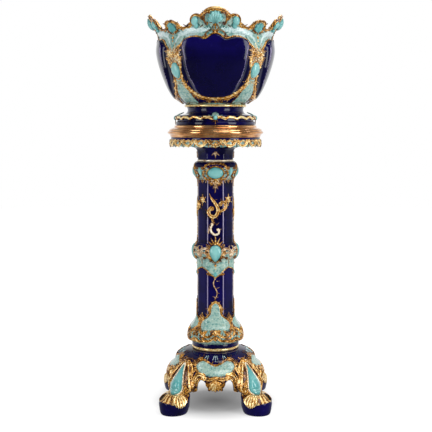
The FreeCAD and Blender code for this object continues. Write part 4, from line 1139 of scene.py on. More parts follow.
def makeCapital():
    v = capitalValues
    outer = smoothLine(v["profile"], 100)
    turns = circle(256)
    rings = []
    for r, z in outer:
        mix = np.clip((z - 26) / 14, 0, 1)
        radius = (1 - mix) * softOctagon(turns, r / 1.012) + mix * r
        rings.append(ringAt(radius, turns, capitalLow + z))
    rings += list(latheRings([(r, capitalLow + z) for r, z in v["hollow"]], 256))
    solid("capital_body", ringSolid(np.array(rings), True), "cobalt", 0.5, "capital")


makeCapital()


def repeated(part, count, pitch):  # a flat part repeated at even steps along x
    return joined([(part[0] + [i * pitch, 0, 0], part[1]) for i in range(count)])


def onArc(body, flat, reference):  # lays a flat strip (arc length, z, height) round a body
    return surfaceAt(body, flat[:, 0] / reference, flat[:, 1], flat[:, 2])


def makeFrill():
    v = capitalValues
    reference = v["frillRadius"]
    low = capitalLow + 43
    body = turnedBody([(136, low - 3), (139, low), (140, low + 8), (138, low + 17), (136.5, low + 20)])
    pitch = 2 * math.pi * reference / v["scrolls"]
    chain = [scroll([(-0.42 * pitch, low + 12), (-0.22 * pitch, low + 4.5), (0, low + 2),
                     (0.22 * pitch, low + 5), (0.40 * pitch, low + 12)], 3.6, (3.6, -1), (3.6, 1)),
             scroll([(-0.18 * pitch, low + 13), (0, low + 17.5), (0.2 * pitch, low + 12.5)], 2.6, (2.4, -1),
                    (2.6, -1))]
    leaves = [(0, low + 9, 0, 5, 9), (-0.48 * pitch, low + 8, 180, 5.5, 12),
              (0.25 * pitch, low + 9, 40, 4, 9), (-0.25 * pitch, low + 9, -40, 4, 9)]
    beads = [(-0.5 * pitch, low + 15, 0, 3.2, 3.2), (0, low - 0.5, 0, 2.8, 2.8)]
    flat, faces = repeated(joined([swept(chain, "scroll", 1.2), stamped(leaves, "leaf", 0.8),
                                   stamped(beads, "bead", 0.9)]), v["scrolls"], pitch)
    solid("capital_gilt_frill", (onArc(body, flat, reference), faces), "gilt",
          np.clip(flat[:, 2] / 3.4, 0, 1), "capital_frill")
    turns = circle(480)
    lobe = 1.6 * np.cos(v["scrolls"] * turns)
    rings = [ringAt(r + 0.5 * lobe, turns, z + lobe * drop) for r, z, drop in ((134, low + 18, 0),
             (138.4, low + 18, 0), (139.6, low + 12, 0), (140, low + 4, 0.6), (138.5, low - 1, 1.0),
             (134, low - 1, 1.0))]
    solid("capital_frill_ground", ringSolid(np.array(rings), True), "mottled", 0.4)
    under = turnedBody([(r, capitalLow + z) for r, z in v["under"]])
    front = turnedBody([(r, low + z) for r, z in v["front"]])
    face = cast(sides=[
        ("leaf", 0.9, [
            (6, low + 7, 140, 8, 12), (10, low + 8, 106, 7, 20), (8, low + 12, 60, 6, 15)])], middle=[
        ("leaf", 0.9, [(0, low + 6, 180, 11, 11), (0, low + 2, 0, 8, 14)]),
        ("flower", 0.9, [(0, low + 6, 6)])])
    lay("capital_gilt_sprays", front, face, "gilt", faces4, 5)
    neck = cast(middle=[
        ("leaf", 1.0, [
            (0, capitalLow + 23, 180, 10, 19), (3, capitalLow + 22, 135, 8, 13),
            (-3, capitalLow + 22, 225, 8, 13)]),
        ("flower", 1.0, [(0, capitalLow + 21, 6)])])
    lay("neck_gilt_drops", under, neck, "paleGilt", faces4, 6)


makeFrill()
print("plate and capital made")

# ---- column
columnValues = {"half": (56.5, 53.5), "wall": 11.0, "edge": 24.0, "around": 360, "rows": 70}


def shaftBody(turn, z):
    return softOctagon(turn, np.interp(z, [columnLow, columnHigh], columnValues["half"]))


def makeShaft():
    v = columnValues
    turns = circle(v["around"])
    rings = []
    for z in np.linspace(columnLow, columnHigh, v["rows"]):
        rings.append(ringAt(shaftBody(turns, z), turns, z))
    for z in (columnHigh, columnLow):
        rings.append(ringAt(shaftBody(turns, z) - v["wall"], turns, z))
    folded = np.abs((turns + quarter / 2) % quarter - quarter / 2)
    # painted highlight: pale lines down the rounded edges beside the front flats, where strip lamps would
    # be reflected
    paintedHighlight = 0.5 + 0.5 * np.exp(-((folded - math.atan2(v["edge"], v["half"][1])) * v["half"][1] / 1.3) ** 2)
    solid("column_facets", ringSolid(np.array(rings), True), "cobalt", np.tile(paintedHighlight, len(rings)),
          "column_shaft")


makeShaft()


def beadRing(name, node, radius, glaze):  # half-round gilt ring at a CAD node's own level
    low, high = levels(node)
    tall = high - low
    section = [(42, 0), (radius - 0.5 * tall, 0), (radius - 0.12 * tall, 0.16 * tall), (radius, 0.5 * tall),
               (radius - 0.12 * tall, 0.84 * tall), (radius - 0.5 * tall, tall), (42, tall)]
    smooth = np.vstack([section[:1], smoothLine(section[1:-1], 16), section[-1:]])
    solid(name, ringSolid(latheRings([(r, low + z) for r, z in smooth], 160), True), glaze, 0.8, node)


beadRing("gilt_base_ring", "base_ring", 75.0, "gilt")
beadRing("gilt_column_bead", "column_bead", 57.0, "paleGilt")


def turnedRelief(name, profile, shape, glaze, relief, *nodes):
    # turned band with a core hollow for the shaft
    line, turns = smoothLine(profile, 40), circle(256)
    rings = [ringAt(shape(turns, r), turns, z) for r, z in line]
    rings += [ringAt(shaftBody(turns, z) - 4, turns, z) for z in (line[-1, 1], line[0, 1])]
    solid(name, ringSolid(np.array(rings), True), glaze, relief, *nodes)


def lobed(turns, r):  # eight soft lobes, for the moulded foot of the column
    return softOctagon(turns, r / 1.004, 16.0)


def ridged(turns, r):  # eight clearer edges, for the bands on the shaft
    return softOctagon(turns, r / 1.006, 22.0)


columnFootProfile = [(r, columnLow + z) for r, z in [
    (68, 11.5), (72.6, 12.6), (77, 16), (84, 22), (87, 31), (85.6, 42), (82, 52), (77, 60), (69.5, 68),
    (64.6, 74), (60, 84), (56.6, 92)]]
filletProfile = [(r, columnLow + z) for r, z in [(73.4, 0.2), (74.4, 4), (74.2, 9), (72.6, 13), (69, 15)]]
turnedRelief("column_foot_bulge", columnFootProfile, lobed, "mottled", 0.45, "column_foot")
turnedRelief("column_foot_fillet", filletProfile, lambda turns, r: r, "cobalt", 0.5)
footFront = turnedBody(columnFootProfile)


def skirtBody(turn, z):
    reach = np.interp(z - columnLow, [0, 60, 68, 80, 92, 160], [79, 77, 69.5, 62.5, 58.5, 56.5])
    return softOctagon(turn, reach, 24.0)


skirtValues = {
    "outline": [
        (0, 329), (7, 327), (12, 320), (14.5, 310), (15.5, 299), (18.5, 290), (26, 282), (35, 275),
        (42, 267), (45.5, 259), (46, 250), (38, 244), (0, 243)]}
skirt = pillow(smoothLine(mirrorLine(skirtValues["outline"]), 150, True), 3.4, 6.0, 3.2)
lay("skirt_spades", skirtBody, skirt, "mottled", faces4, 4, "skirt_panels")
edge = [(45.6, 256), (43.5, 266), (36, 275.5), (27, 283), (19.5, 291), (16.8, 300), (15.8, 311),
        (12.6, 321), (7, 328), (0, 330.5)]
edge = smoothLine(edge + [(-x, z) for x, z in edge[-2::-1]], 120)
skirtGilt = cast(sides=[
    ("scroll", 1.1, [
        ([(17, 296), (21, 304), (20, 312), (14, 322)], 2.8, (3.4, -1), (2.6, 1)),
        ([(48, 252), (52, 262), (49, 274), (42, 284)], 2.8, (3.4, 1), (3.4, -1))]),
    ("leaf", 0.8, [
        (20, 305, 60, 5, 13), (17, 314, 20, 4.5, 11), (10, 327, 40, 4.5, 10), (24, 288, 40, 5, 12),
        (38, 276, 30, 5, 12), (46, 268, 8, 6, 18)])], middle=[
    ("scroll", 1.1, [np.c_[edge, 2.6 + 1.2 * np.clip((edge[:, 1] - 285) / 30, 0, 1)]]),
    ("leaf", 0.8, [(0, 330, 0, 6, 13)]),
    ("bead", 0.9, [(0, 329, 3.4)])])
lay("skirt_gilt_edges", skirtBody, skirtGilt, "gilt", faces4, 5)

footScrolls = cast(sides=[
    ("scroll", 1.25, [
        ([(9, 235), (20, 227), (33, 228), (44, 237), (50, 248)], 3.8, (5.0, -1), (4.6, 1)),
        ([(6, 224), (18, 215.5), (34, 215), (50, 212), (62, 218)], 3.8, (5.0, 1), (5.0, -1)),
        ([(8, 246), (17, 250), (26, 246), (31, 238)], 2.9, (3.4, -1), (3.6, 1)),
        ([(40, 221), (50, 226), (58, 236), (57, 248)], 3.2, (3.6, -1), (4.0, -1))]),
    ("leaf", 0.85, [
        (5, 245, 28, 7, 20), (9, 240, 60, 6, 17), (20, 229, 20, 5, 12), (30, 230, 50, 5, 13),
        (40, 236, 10, 5, 13), (16, 222, 160, 5, 12), (28, 218, 30, 5, 12), (44, 215, 40, 5, 12),
        (52, 240, 40, 6, 18), (56, 226, 60, 5, 13), (33, 244, 40, 4.5, 12), (4, 226, 150, 6, 14)]),
    ("bead", 0.9, [(14, 234, 3), (36, 222, 3), (48, 230, 3)])], middle=[
    ("leaf", 0.9, [(0, 244, 0, 9, 24), (0, 230, 180, 8, 18)]),
    ("flower", 0.9, [(0, 237, 9)])])


def bulgeBody(turn, z):
    return softOctagon(turn, footFront(0 * turn, z) / 1.004, 16.0)


lay("column_foot_gilt", bulgeBody, footScrolls, "gilt", faces4, 6, "column_foot_scrolls")
cornerClusters = cast(sides=[
    ("scroll", 1.3, [
        ([(5, 216), (13, 224), (15, 236), (9, 246)], 3.6, (4.4, 1), (4.4, 1)),
        ([(3, 252), (9, 262), (10, 274), (5, 286)], 2.8, (3.2, -1), (3.0, 1))]),
    ("leaf", 0.9, [
        (5, 236, 40, 7, 20), (8, 228, 80, 6, 16), (6, 248, 24, 6, 20), (5, 264, 30, 5, 16)])], middle=[
    ("leaf", 0.9, [(0, 240, 0, 9, 30), (0, 268, 0, 7, 30), (0, 222, 180, 8, 16)]),
    ("flower", 1.0, [(0, 232, 6)])])
lay("column_corner_gilt", bulgeBody, cornerClusters, "gilt", corners4, 6)
cornerStonesLow = bothSides(stamped([(15, 226, 0, 6, 11)], "stone", 0.6))
lay("column_corner_stones", bulgeBody, cornerStonesLow, "turquoise", corners4, 5)
print("column foot and skirt made")

# ---- middle moulding, drapery and pear stones
midProfile = [(57, 462), (61.5, 466), (65, 472), (67, 480), (67.4, 489), (66.4, 499), (63.5, 507),
              (60.5, 512), (55.6, 515)]
turnedRelief("mid_moulding_band", midProfile, ridged, "mottled", 0.5, "mid_moulding")
turnedRelief("mid_cobalt_shoulder", [(67.9, 494), (67.3, 499), (64.5, 507), (61.5, 512.6), (56.6, 516)],
             ridged, "cobalt", 0.5)
midLine = turnedBody(midProfile)


def midBody(turn, z):
    plain = np.interp(z, [columnLow, 440, 462, 515, 530, columnHigh], [56.5, 55.4, 57.5, 56.2, 54.8, 53.5])
    return softOctagon(turn, np.where((z > 462) & (z < 515), midLine(0 * turn, z) / 1.006, plain), 26.0)


drapeLine = [(0, 409.5), (6, 412), (12, 416.5), (19, 423), (25, 430.5), (32, 436), (39, 439.5), (40.5, 441)]
hem = smoothLine(drapeLine, 26)[:, :2]
top = [(40.5, 455), (40.5, 470), (20, 470), (0, 470), (-20, 470), (-40.5, 470), (-40.5, 455)]
drape = pillow(np.vstack([hem, top, (hem * [-1, 1])[:0:-1]]), 3.2, 5.0, 3.2)
lay("mid_drapery", shaftBody, drape, "mottled", faces4, 4, "mid_drapes")
pear = smoothLine(mirrorLine([(0, 511), (8, 509.5), (15, 504), (19, 494.5), (18.4, 484), (14, 474),
                              (8.5, 465.5), (4, 459.5), (0, 457.5)]), 90, True)
pearStones = joined([pillow(pear, 9.0, 19.0, 2.2, 2.0), stamped([(0, 418.5, 0, 6.8, 8.6)], "stone", 0.75)])
lay("mid_pear_stones", midBody, pearStones, "turquoise", faces4, 9, "mid_gems")
pearLine = setOut(pear, 5.2)
pearBeads = [(x, z, 2.5) for x, z in smoothLine(pearLine[::max(len(pearLine) // 60, 1)], 34, True)]
innerLine = setOut(pear, 1.6)
midGilt = cast(sides=[
    ("leaf", 0.9, [
        (5, 513, 24, 7.5, 24), (10, 511, 48, 7, 20), (15, 507, 72, 6, 16), (3, 455, 140, 5, 14),
        (9, 417, 82, 5, 15), (8, 421, 60, 3.5, 9)]),
    ("scroll", 1.25, [
        ([(22, 505), (28, 498), (28, 487), (22, 478)], 2.9, (3.6, -1), (3.2, 1)),
        ([(14, 463), (19, 471), (26, 474), (32, 470)], 2.6, (3.0, 1), (3.0, 1)),
        ([(24, 418), (17, 416), (10, 417)], 2.2, (2.4, 1), None)])], middle=[
    ("rib", 1.3, [(np.c_[innerLine, np.full(len(innerLine), 1.9)], True)]),
    ("bead", 1.0, pearBeads),
    ("leaf", 0.9, [(0, 512, 0, 9, 27), (0, 458, 180, 6.5, 20), (0, 432, 180, 4.5, 9)]),
    ("bead", 0.95, [(0, 447, 0, 4.6, 5.2), (0, 437, 0, 3.6, 4.6), (0, 513, 4)])])
lay("mid_gilt_frames", midBody, midGilt, "gilt", faces4, 6)
line = smoothLine([(-40.5, 441), (-39, 439.5)] + [(-x, z) for x, z in drapeLine[-3:0:-1]] + drapeLine[:-1]
                  + [(40.5, 441)], 90)
lay("mid_drapery_edges", shaftBody, swept([np.c_[line, np.full(len(line), 1.9)]], "rib", 1.6), "gilt",
    faces4, 5)
crescents = cast(sides=[
    ("leaf", 0.9, [(4, 478, 150, 6, 22), (8, 484, 110, 5, 14)])], middle=[
    ("scroll", 1.3, [
        stroke([(-14, 503), (-11.5, 491), (-5, 484), (0, 482.5), (5, 484), (11.5, 491), (14, 503)],
               3.8, 0.12)]),
    ("leaf", 0.9, [(0, 481, 180, 7, 32), (0, 484, 0, 5, 14)]),
    ("bead", 1.0, [(0, 482, 3.8)])])
collarBlossoms = cast(sides=[
    ("flower", 1.0, [(6, 704, 6), (8, 712, 6.5), (15, 714, 6), (22, 717, 6), (30, 719, 6), (38, 721, 6)]),
    ("leaf", 0.9, [
        (11, 707, 150, 6, 13), (19, 711, 160, 6, 13), (27, 714, 165, 6, 12), (35, 716, 170, 6, 12),
        (4, 695, 160, 5, 12)])], middle=[
    ("flower", 1.0, [(0, 691, 5.5), (0, 700, 6.5), (0, 709, 7)]),
    ("leaf", 0.9, [(0, 688, 180, 6, 15)])])
lay("collar_pale_blossoms", shaftBody, collarBlossoms, "paleGilt", faces4, 5)
shoulderScrolls = cast(sides=[
    ("scroll", 1.2, [
        ([(17, 486), (24, 497), (34, 500), (45, 494), (50, 484)], 3.4, (3.6, 1), (3.8, -1)),
        ([(24, 478), (32, 486), (40, 487), (47, 480)], 2.8, (3.0, 1), (3.0, -1))]),
    ("leaf", 0.9, [(22 + 8 * k, 497 - 1.2 * k, 24 - 48 * (k % 2), 6.5, 16) for k in range(4)])])
lay("mid_pale_scrolls", midBody, shoulderScrolls, "paleGilt", faces4, 5)
lay("mid_corner_crescents", midBody, crescents, "paleGilt", corners4, 6)
print("middle moulding made")


# ---- collar under the capital
def collarShape(turns, r):
    return softOctagon(turns, r / 1.006, 20.0)


collarProfile = [(55.2, 712), (58.4, 717), (60, 726), (63.5, 734), (66, 744), (67, 753), (64, 761),
                 (59, 765.5), (54.6, 767)]
turnedRelief("upper_collar_band", collarProfile, collarShape, "mottled", 0.5, "upper_collar")
turnedRelief("collar_cobalt_shoulder", [(67.8, 751), (67.6, 754.5), (64.9, 761.5), (59.9, 766.2),
                                        (55.4, 768)], collarShape, "cobalt", 0.5)
collarLine = turnedBody(collarProfile)


def collarBody(turn, z):
    plain = np.interp(z, [600, 700, 712], [54.3, 53.9, 55])
    return softOctagon(turn, np.where(z > 712, collarLine(0 * turn, z) / 1.006, plain), 24.0)


upperStone = smoothLine([(25 * math.sin(a), 735 + (17.5 if math.cos(a) > 0 else 18.5) * math.cos(a))
                         for a in circle(24)], 90, True)
lay("collar_stones", collarBody, pillow(upperStone, 8.5, 18.0, 2.4, 2.0), "turquoise", faces4, 9,
    "upper_gems")
cornerLens = cast(sides=[
    ("leaf", 0.6, [(9, 728, 150, 6, 18)])], middle=[
    ("stone", 0.7, [(0, 738, 0, 7, 13)])])
lay("collar_corner_stones", collarBody, cornerLens, "turquoise", corners4, 6)
edgeLine = setOut(upperStone, 1.8)
crown = [(29 * math.sin(a), 736 + 21 * math.cos(a), math.degrees(a), 5.5, 12)
         for a in np.radians(np.arange(-100, 101, 16.6))]
lowerCrown = [(27.5 * math.sin(a), 735 + 20 * math.cos(a), math.degrees(a), 5, 9)
              for a in np.radians(np.arange(125, 236, 18.3))]
collarGilt = cast(sides=[
    ("scroll", 1.25, [
        ([(6, 762), (18, 762), (29, 757), (36, 748)], 2.9, (3.2, -1), (3.6, 1)),
        ([(37, 738), (38, 728), (32, 719), (22, 713)], 2.7, (3.2, 1), (3.2, -1)),
        ([(4, 708), (10, 700), (16, 704), (19, 711)], 2.5, (2.8, 1), (2.8, 1))]),
    ("leaf", 0.9, [(3, 712, 145, 7, 20), (5, 696, 100, 5, 12), (30, 722, 130, 5, 12)])], middle=[
    ("rib", 1.3, [(np.c_[edgeLine, np.full(len(edgeLine), 2.1)], True)]),
    ("leaf", 0.85, crown + lowerCrown),
    ("leaf", 0.9, [(0, 714, 180, 9, 26), (0, 755, 0, 6, 10)]),
    ("flower", 1.0, [(0, 700, 5.5)]),
    ("leaf", 0.8, [(0, 687, 190, 4.5, 17)])])
lay("collar_gilt_frames", collarBody, collarGilt, "gilt", faces4, 6, "upper_frames")
collarCorner = cast(sides=[
    ("leaf", 0.9, [(4, 749, 40, 6, 14), (5, 722, 140, 5.5, 16)]),
    ("scroll", 1.25, [([(9, 752), (12, 742), (10, 730), (4, 722)], 2.3, (2.8, -1), (2.6, 1))])], middle=[
    ("leaf", 0.9, [(0, 750, 0, 7, 15), (0, 722, 180, 7, 22)])])
lay("collar_corner_gilt", collarBody, collarCorner, "gilt", corners4, 6)
print("collar made")

# ---- sprays on the faces of the shaft
sprays = cast(middle=[
    ("scroll", 1.25, [
        ([(-14, 658), (-6, 647), (3, 634), (8, 621), (5, 607), (-4, 599), (-15, 602), (-21, 612),
          (-17, 624)],
         5.4, None, (5.0, -1)),
        ([(4, 617), (12, 616), (21, 618), (29, 626), (30, 637), (23, 645), (15, 641)],
         4.4, None, (3.6, 1)),
        ([(28, 641), (34, 648), (41, 652)], 3.4, None, None),
        ([(-7, 598), (-10, 590), (-6, 582), (-4, 574)], 3.4, (3.2, 1), None)]),
    ("leaf", 0.9, [
        (-13, 655, -20, 6, 18), (-8, 648, 70, 5, 14), (4, 634, 60, 5, 13), (-20, 618, -80, 5, 12),
        (0, 600, 140, 6, 13), (29, 626, 110, 5, 12), (14, 616, 175, 5, 12), (-9, 590, -60, 5, 12),
        (-6, 578, 100, 5, 14), (-6, 576, -100, 5, 13), (20, 645, -20, 5, 11), (-18, 604, -130, 5, 12)]),
    ("flower", 1.0, [(6, 620, 6)])])
lay("shaft_gilt_sprays", shaftBody, sprays, "gilt", faces4, 6, "shaft_scrolls")
stars = stamped([(0, 651, 0, 8, 19), (1, 651, 58, 8, 17), (1, 650, 118, 8, 17), (-1, 650, -118, 8, 17),
                 (-1, 651, -58, 8, 17), (0, 649, 180, 8, 19)], "leaf", 1.2)
lay("shaft_corner_stars", shaftBody, joined([stars, stamped([(0, 651, 0, 11, 11)], "flower", 1.1)]), "gilt",
    corners4, 5)
paleSprays = cast(middle=[
    ("rib", 1.1, [
        ([(-9, 574), (-15, 562), (-11, 549), (0, 542.5), (10, 547), (11, 557)],
         3.8, (3.0, 1), (3.4, 1)),
        ([(-22, 566), (-20, 558), (-23, 550)], 1.8, None, (2.0, 1)),
        ([(0, 405), (-6, 394), (-5, 382), (1, 372), (5, 362), (4, 351), (-1, 342), (0, 334)],
         2.0, (2.4, 1), None)]),
    ("leaf", 0.8, [
        (-2, 404, 40, 5, 14), (3, 397, 90, 4, 10), (3, 374, 70, 4, 11), (5, 360, 100, 3.6, 9),
        (-1, 346, -70, 3.8, 10), (1, 344, 70, 3.8, 10), (10, 556, 60, 4.4, 11),
        (-14, 564, -40, 4.4, 12), (-4, 545, 160, 4.4, 11), (2, 572, 50, 4.4, 13)])])
lay("shaft_pale_sprays", shaftBody, paleSprays, "paleGilt", faces4, 4, "shaft_vines")
print("shaft sprays made")

# ---- base
baseValues = {
    "profile": [
        (139, 62), (141, 69), (147, 84), (151, 100), (150, 110), (142.5, 120), (132, 130), (126, 139),
        (124, 150), (117, 159), (104, 167.5), (88, 173.5), (74, 176)],
    "edge": [
        (0, 71), (7, 72), (14, 76), (20, 82), (25, 89), (29, 97), (34, 104), (41, 107), (48, 104),
        (53, 96), (56.5, 86), (58.5, 77), (62, 71), (68, 69), (76, 70), (90, 74)],
    "wall": 11.0, "around": 720}
baseBody = turnedBody(baseValues["profile"])


def baseShell():
    v = baseValues
    turns = circle(v["around"])
    folded = (turns + quarter / 2) % quarter - quarter / 2
    line = smoothLine(v["edge"], 200)
    edge = np.interp(np.abs(146 * np.sin(folded)), line[:, 0], line[:, 1])
    rings = []
    for share in np.linspace(0, 1, 54):
        z = edge + share * (baseTop - edge)
        radius = baseBody(turns, np.minimum(z, baseTop - 0.01))
        if share > 0.999:
            radius = np.full_like(turns, 74.0)
        rings.append(ringAt(radius, turns, z))
    for r, z in ((40, baseTop), (7, baseTop), (7, baseTop - 13), (60, baseTop - 13), (84, baseTop - 14)):
        rings.append(ringAt(r, turns, z))
    for share in np.linspace(0.1, 1, 26):
        z = (baseTop - 16) + share * (edge - baseTop + 16)
        radius = baseBody(turns, np.minimum(z + 3, baseTop - 4)) - v["wall"]
        rings.append(ringAt(radius, turns, z))
    return ringSolid(np.array(rings), True)


solid("base_dome", baseShell(), "cobalt", 0.5, "stand_base")
bandValues = {
    "outline": [
        (0, 117), (14, 117), (30, 119), (44, 123), (55, 130), (60, 142), (54, 152), (44, 158),
        (33, 158.5), (23, 155), (11, 149), (0, 146.5)]}
band = pillow(smoothLine(mirrorLine(bandValues["outline"]), 130, True), 4.0, 6.0, 3.4)
lay("base_mottled_bands", baseBody, band, "mottled", faces4, 4, "base_bands")
upper = [(60, 146), (54, 152.5), (44, 158.6), (33, 159.2), (23, 155.8), (11, 149.8), (0, 147)]
upper = smoothLine(upper + [(-x, z) for x, z in upper[-2::-1]], 100)
baseGilt = cast(sides=[
    ("scroll", 1.3, [
        ([(2, 114), (12, 110.5), (24, 110), (36, 114)], 4.4, (4.0, 1), (4.6, 1)),
        ([(38, 119), (50, 121), (60, 114), (64, 102)], 4.8, (5.0, 1), (6.0, 1)),
        ([(36, 109), (44, 112), (52, 107), (57, 96), (59, 84), (64, 76)], 4.0, (3.4, -1), (4.4, -1)),
        ([(62, 134), (70, 124), (74, 112), (72, 100)], 4.4, (5.0, 1), (5.0, -1)),
        ([(66, 96), (72, 88), (72, 78), (66, 72)], 3.8, (4.2, -1), (3.4, 1)),
        ([(60, 146), (68, 148), (75, 142), (78, 132)], 3.8, (4.0, 1), (4.4, 1)),
        ([(28, 158), (38, 163), (50, 161), (58, 154)], 2.8, (3.4, 1), (3.4, 1))]),
    ("leaf", 0.9, [
        (8, 114, 60, 5, 12), (20, 113, 30, 5, 13), (32, 115, 50, 5, 13), (46, 122, 10, 6, 15),
        (54, 121, 40, 6, 15), (61, 112, 70, 6, 15), (58, 98, -60, 5, 13), (60, 88, 70, 6, 16),
        (64, 80, 100, 6, 15), (66, 128, 20, 6.5, 17), (70, 118, 60, 6, 16), (74, 104, 90, 6, 16),
        (58, 148, -10, 6, 16), (66, 150, 20, 6, 15), (50, 160, -10, 5, 12), (40, 162, -30, 5, 12),
        (28, 158, -50, 5, 12), (12, 150, -30, 5, 11), (64, 92, 40, 5.5, 14), (48, 128, -40, 5.5, 14),
        (40, 121, -60, 5, 13), (54, 110, 150, 5, 13), (72, 138, 40, 6, 16)]),
    ("bead", 1.0, [
        (34, 108, 3.2), (58, 122, 3.6), (66, 84, 3.4), (70, 130, 3.6), (12, 114, 3)])], middle=[
    ("scroll", 1.4, [np.c_[upper, 2.4 + 0.6 * np.cos(upper[:, 0] / 7) ** 2]]),
    ("leaf", 0.9, [(0, 152, 180, 5, 14), (0, 118, 0, 7, 16)])])
lay("base_gilt_scrolls", baseBody, baseGilt, "gilt", faces4, 7, "apron_scrolls")
pendant = cast(sides=[
    ("leaf", 0.9, [
        (4, 112, 150, 7, 24), (8, 112, 122, 6, 22), (22, 104, 150, 5, 16), (14, 84, 160, 4, 12)]),
    ("scroll", 1.3, [
        ([(6, 113), (18, 109), (27, 101), (25, 90), (17, 80)], 3.2, (3.6, 1), (3.4, 1))])], middle=[
    ("fan", 0.42, [(0, 110, 180, 31, 40)]),
    ("leaf", 0.9, [(0, 112, 180, 9, 26)]),
    ("bead", 1.0, [(0, 113, 4.6), (0, 72.5, 3.6)])])
lay("base_pendant_shells", baseBody, pendant, "gilt", faces4, 9, "apron_shells")
domeSprigs = cast(sides=[
    ("leaf", 0.8, [
        (3, 171, 150, 3, 12), (22, 171, 160, 3, 14), (26, 170, 130, 2.6, 11),
        (46, 167, 165, 3, 12)])], middle=[
    ("leaf", 0.8, [(0, 171, 180, 3.4, 15)])])
lay("dome_pale_sprigs", baseBody, domeSprigs, "sprig", faces4, 4)
print("base made")


# ---- legs
def atCorners(part):  # a part of one leg, made for the front, at all four corners
    return joined([(spun(part[0], angle), part[1]) for angle in corners4])


legValues = {
    "levels": [
        (38, 157, 27.5, 28), (50, 157, 27.5, 28), (58, 156, 27.5, 31), (66, 149, 28, 42),
        (76, 143.5, 28.5, 51), (86, 141.5, 28.5, 54), (98, 136, 28, 51.5), (112, 129, 27, 44),
        (128, 122, 24.5, 34), (142, 114, 21.5, 26), (152, 107.5, 18.5, 21), (161, 103, 16, 19)]}


def legLevels(z):
    # reach, depth and half width at a height, from rows of (height, reach, depth, half width)
    table = np.array(legValues["levels"])
    return [np.interp(z, table[:, 0], table[:, i]) for i in (1, 2, 3)]


def onLeg(body, flat, angle):  # lays a front view (sideways, z, height) on the outer face of a leg
    x, z, lift = flat[:, 0], flat[:, 1], flat[:, 2]

    def spot(side, level):
        centre, depth, half = legLevels(level)
        t = np.clip(side / half, -0.97, 0.97)
        return np.stack([half * t, -(centre + depth * np.sqrt(1 - t * t)), level], 1)
    out = np.cross(spot(x + 0.3, z) - spot(x - 0.3, z), spot(x, z + 0.4) - spot(x, z - 0.4))
    out /= np.linalg.norm(out, axis=1)[:, None] + 1e-9
    return spun(spot(x, z) + out * lift[:, None], angle)


def legPart():
    turns = circle(64)
    rings = []
    for z in np.linspace(38, 161, 42):
        centre, depth, half = legLevels(z)
        rings.append(np.stack([half * np.sin(turns), -(centre + depth * np.cos(turns)), z + 0 * turns], 1))
    return ringSolid(np.array(rings))


legReliefPart = cast(sides=[
    ("scroll", 1.2, [
        ([(10, 150), (19, 140), (28, 126), (37, 110), (45, 94), (49, 80), (44, 70)],
         5.6, (4.0, 1), (7.0, -1)),
        ([(26, 98), (33, 88), (34, 76), (28, 66)], 4.0, (4.0, 1), (4.6, 1)),
        ([(18, 62), (26, 56), (27, 48), (20, 44)], 3.8, (3.6, 1), (3.4, 1)),
        ([(4, 58), (12, 52), (16, 44)], 3.0, (3.0, -1), None)]),
    ("leaf", 0.9, [
        (20, 140, 70, 6, 16), (28, 126, 80, 7, 18), (36, 112, 90, 7, 18), (43, 98, 100, 6, 15),
        (24, 118, 120, 6, 15), (30, 104, 140, 6, 15), (36, 90, 60, 6, 14), (36, 78, 90, 6, 15),
        (30, 66, 110, 6, 16), (24, 60, 130, 6, 16), (26, 50, 100, 5, 12), (14, 58, 170, 7, 18),
        (8, 56, 175, 7, 18), (40, 68, 150, 6, 15), (12, 146, 40, 5, 13)]),
    ("leaf", 0.8, [(4, 146, 40, 6, 13), (33, 70, 3.6), (22, 104, 3)]),
    ("bead", 1.0, [(45, 74, 4.4), (30, 84, 3.6), (22, 128, 3)])], middle=[
    ("leaf", 0.9, [(0, 57, 180, 9, 19), (0, 147, 0, 8, 14)])])


dropValues = {"reach": 161.0, "bulb": 80.0, "radius": 24.0, "length": 77.0, "lean": 38.0}


def dropPart():  # tear turned about an axis that leans inwards with the leg
    v = dropValues
    r, length, lean = v["radius"], v["length"], math.radians(v["lean"])
    section = smoothLine([(0.4, -r), (0.45 * r, -0.89 * r), (0.86 * r, -0.5 * r), (r, 0),
                          (0.9 * r, 0.22 * length), (0.66 * r, 0.5 * length), (0.4 * r, 0.78 * length),
                          (0.16 * r, length), (0.3, length + 5)], 44)
    turns = circle(44)
    rings = []
    for across, along in section:
        away = across * np.cos(turns)
        out = v["reach"] - along * math.sin(lean) + away * math.cos(lean)
        level = v["bulb"] + along * math.cos(lean) + away * math.sin(lean)
        rings.append(np.stack([across * np.sin(turns), -out, level], 1))
    return ringSolid(np.array(rings))


def tearPart(widths, high):  # shallow tear under the bulb, widths from the bottom up
    line = smoothLine([(z, w) for z, w in widths], 60)
    rings = []
    angles = circle(40)
    for z, w in line:
        w = max(w, 0.3)
        rise = high * (w / max(line[:, 1])) ** 0.8
        rings.append(np.stack([w * np.cos(angles), z + 0 * angles,
                               np.where(np.sin(angles) > 0, rise, 2.0) * np.sin(angles)], 1))
    return ringSolid(np.array(rings))


tearWidths = [(56, 0.6), (57.5, 9), (62, 17), (69, 22.5), (78, 25), (86, 24.6), (96, 21), (108, 16),
              (120, 11), (131, 7), (140, 4), (146, 0.6)]
outline = np.array([(w + 0.8, z) for z, w in tearWidths])
tearEdge = smoothLine(np.vstack([outline, (outline * [-1, 1])[::-1]]), 120, True)
tearRim = swept([(np.c_[tearEdge, np.full(len(tearEdge), 2.6)], True)], "rib", 1.6)
leg = legPart()
for corner, angle in cornerNames.items():
    solid("leg_" + corner + "_core", (spun(leg[0], angle), leg[1]), "gilt", 0.15, "leg_" + corner)
lay("leg_gilt_scrolls", None, legReliefPart, "gilt", corners4, 7, wrap=onLeg)
solid("leg_turquoise_drops", atCorners(dropPart()), "turquoise", 0.55, "leg_drops")
lay("leg_pale_tears", None, tearPart(tearWidths, 11.0), "turquoise", corners4, 11, wrap=onLeg)
lay("leg_pale_rims", None, tearRim, "paleGilt", corners4, 5, wrap=onLeg)
print("legs made")

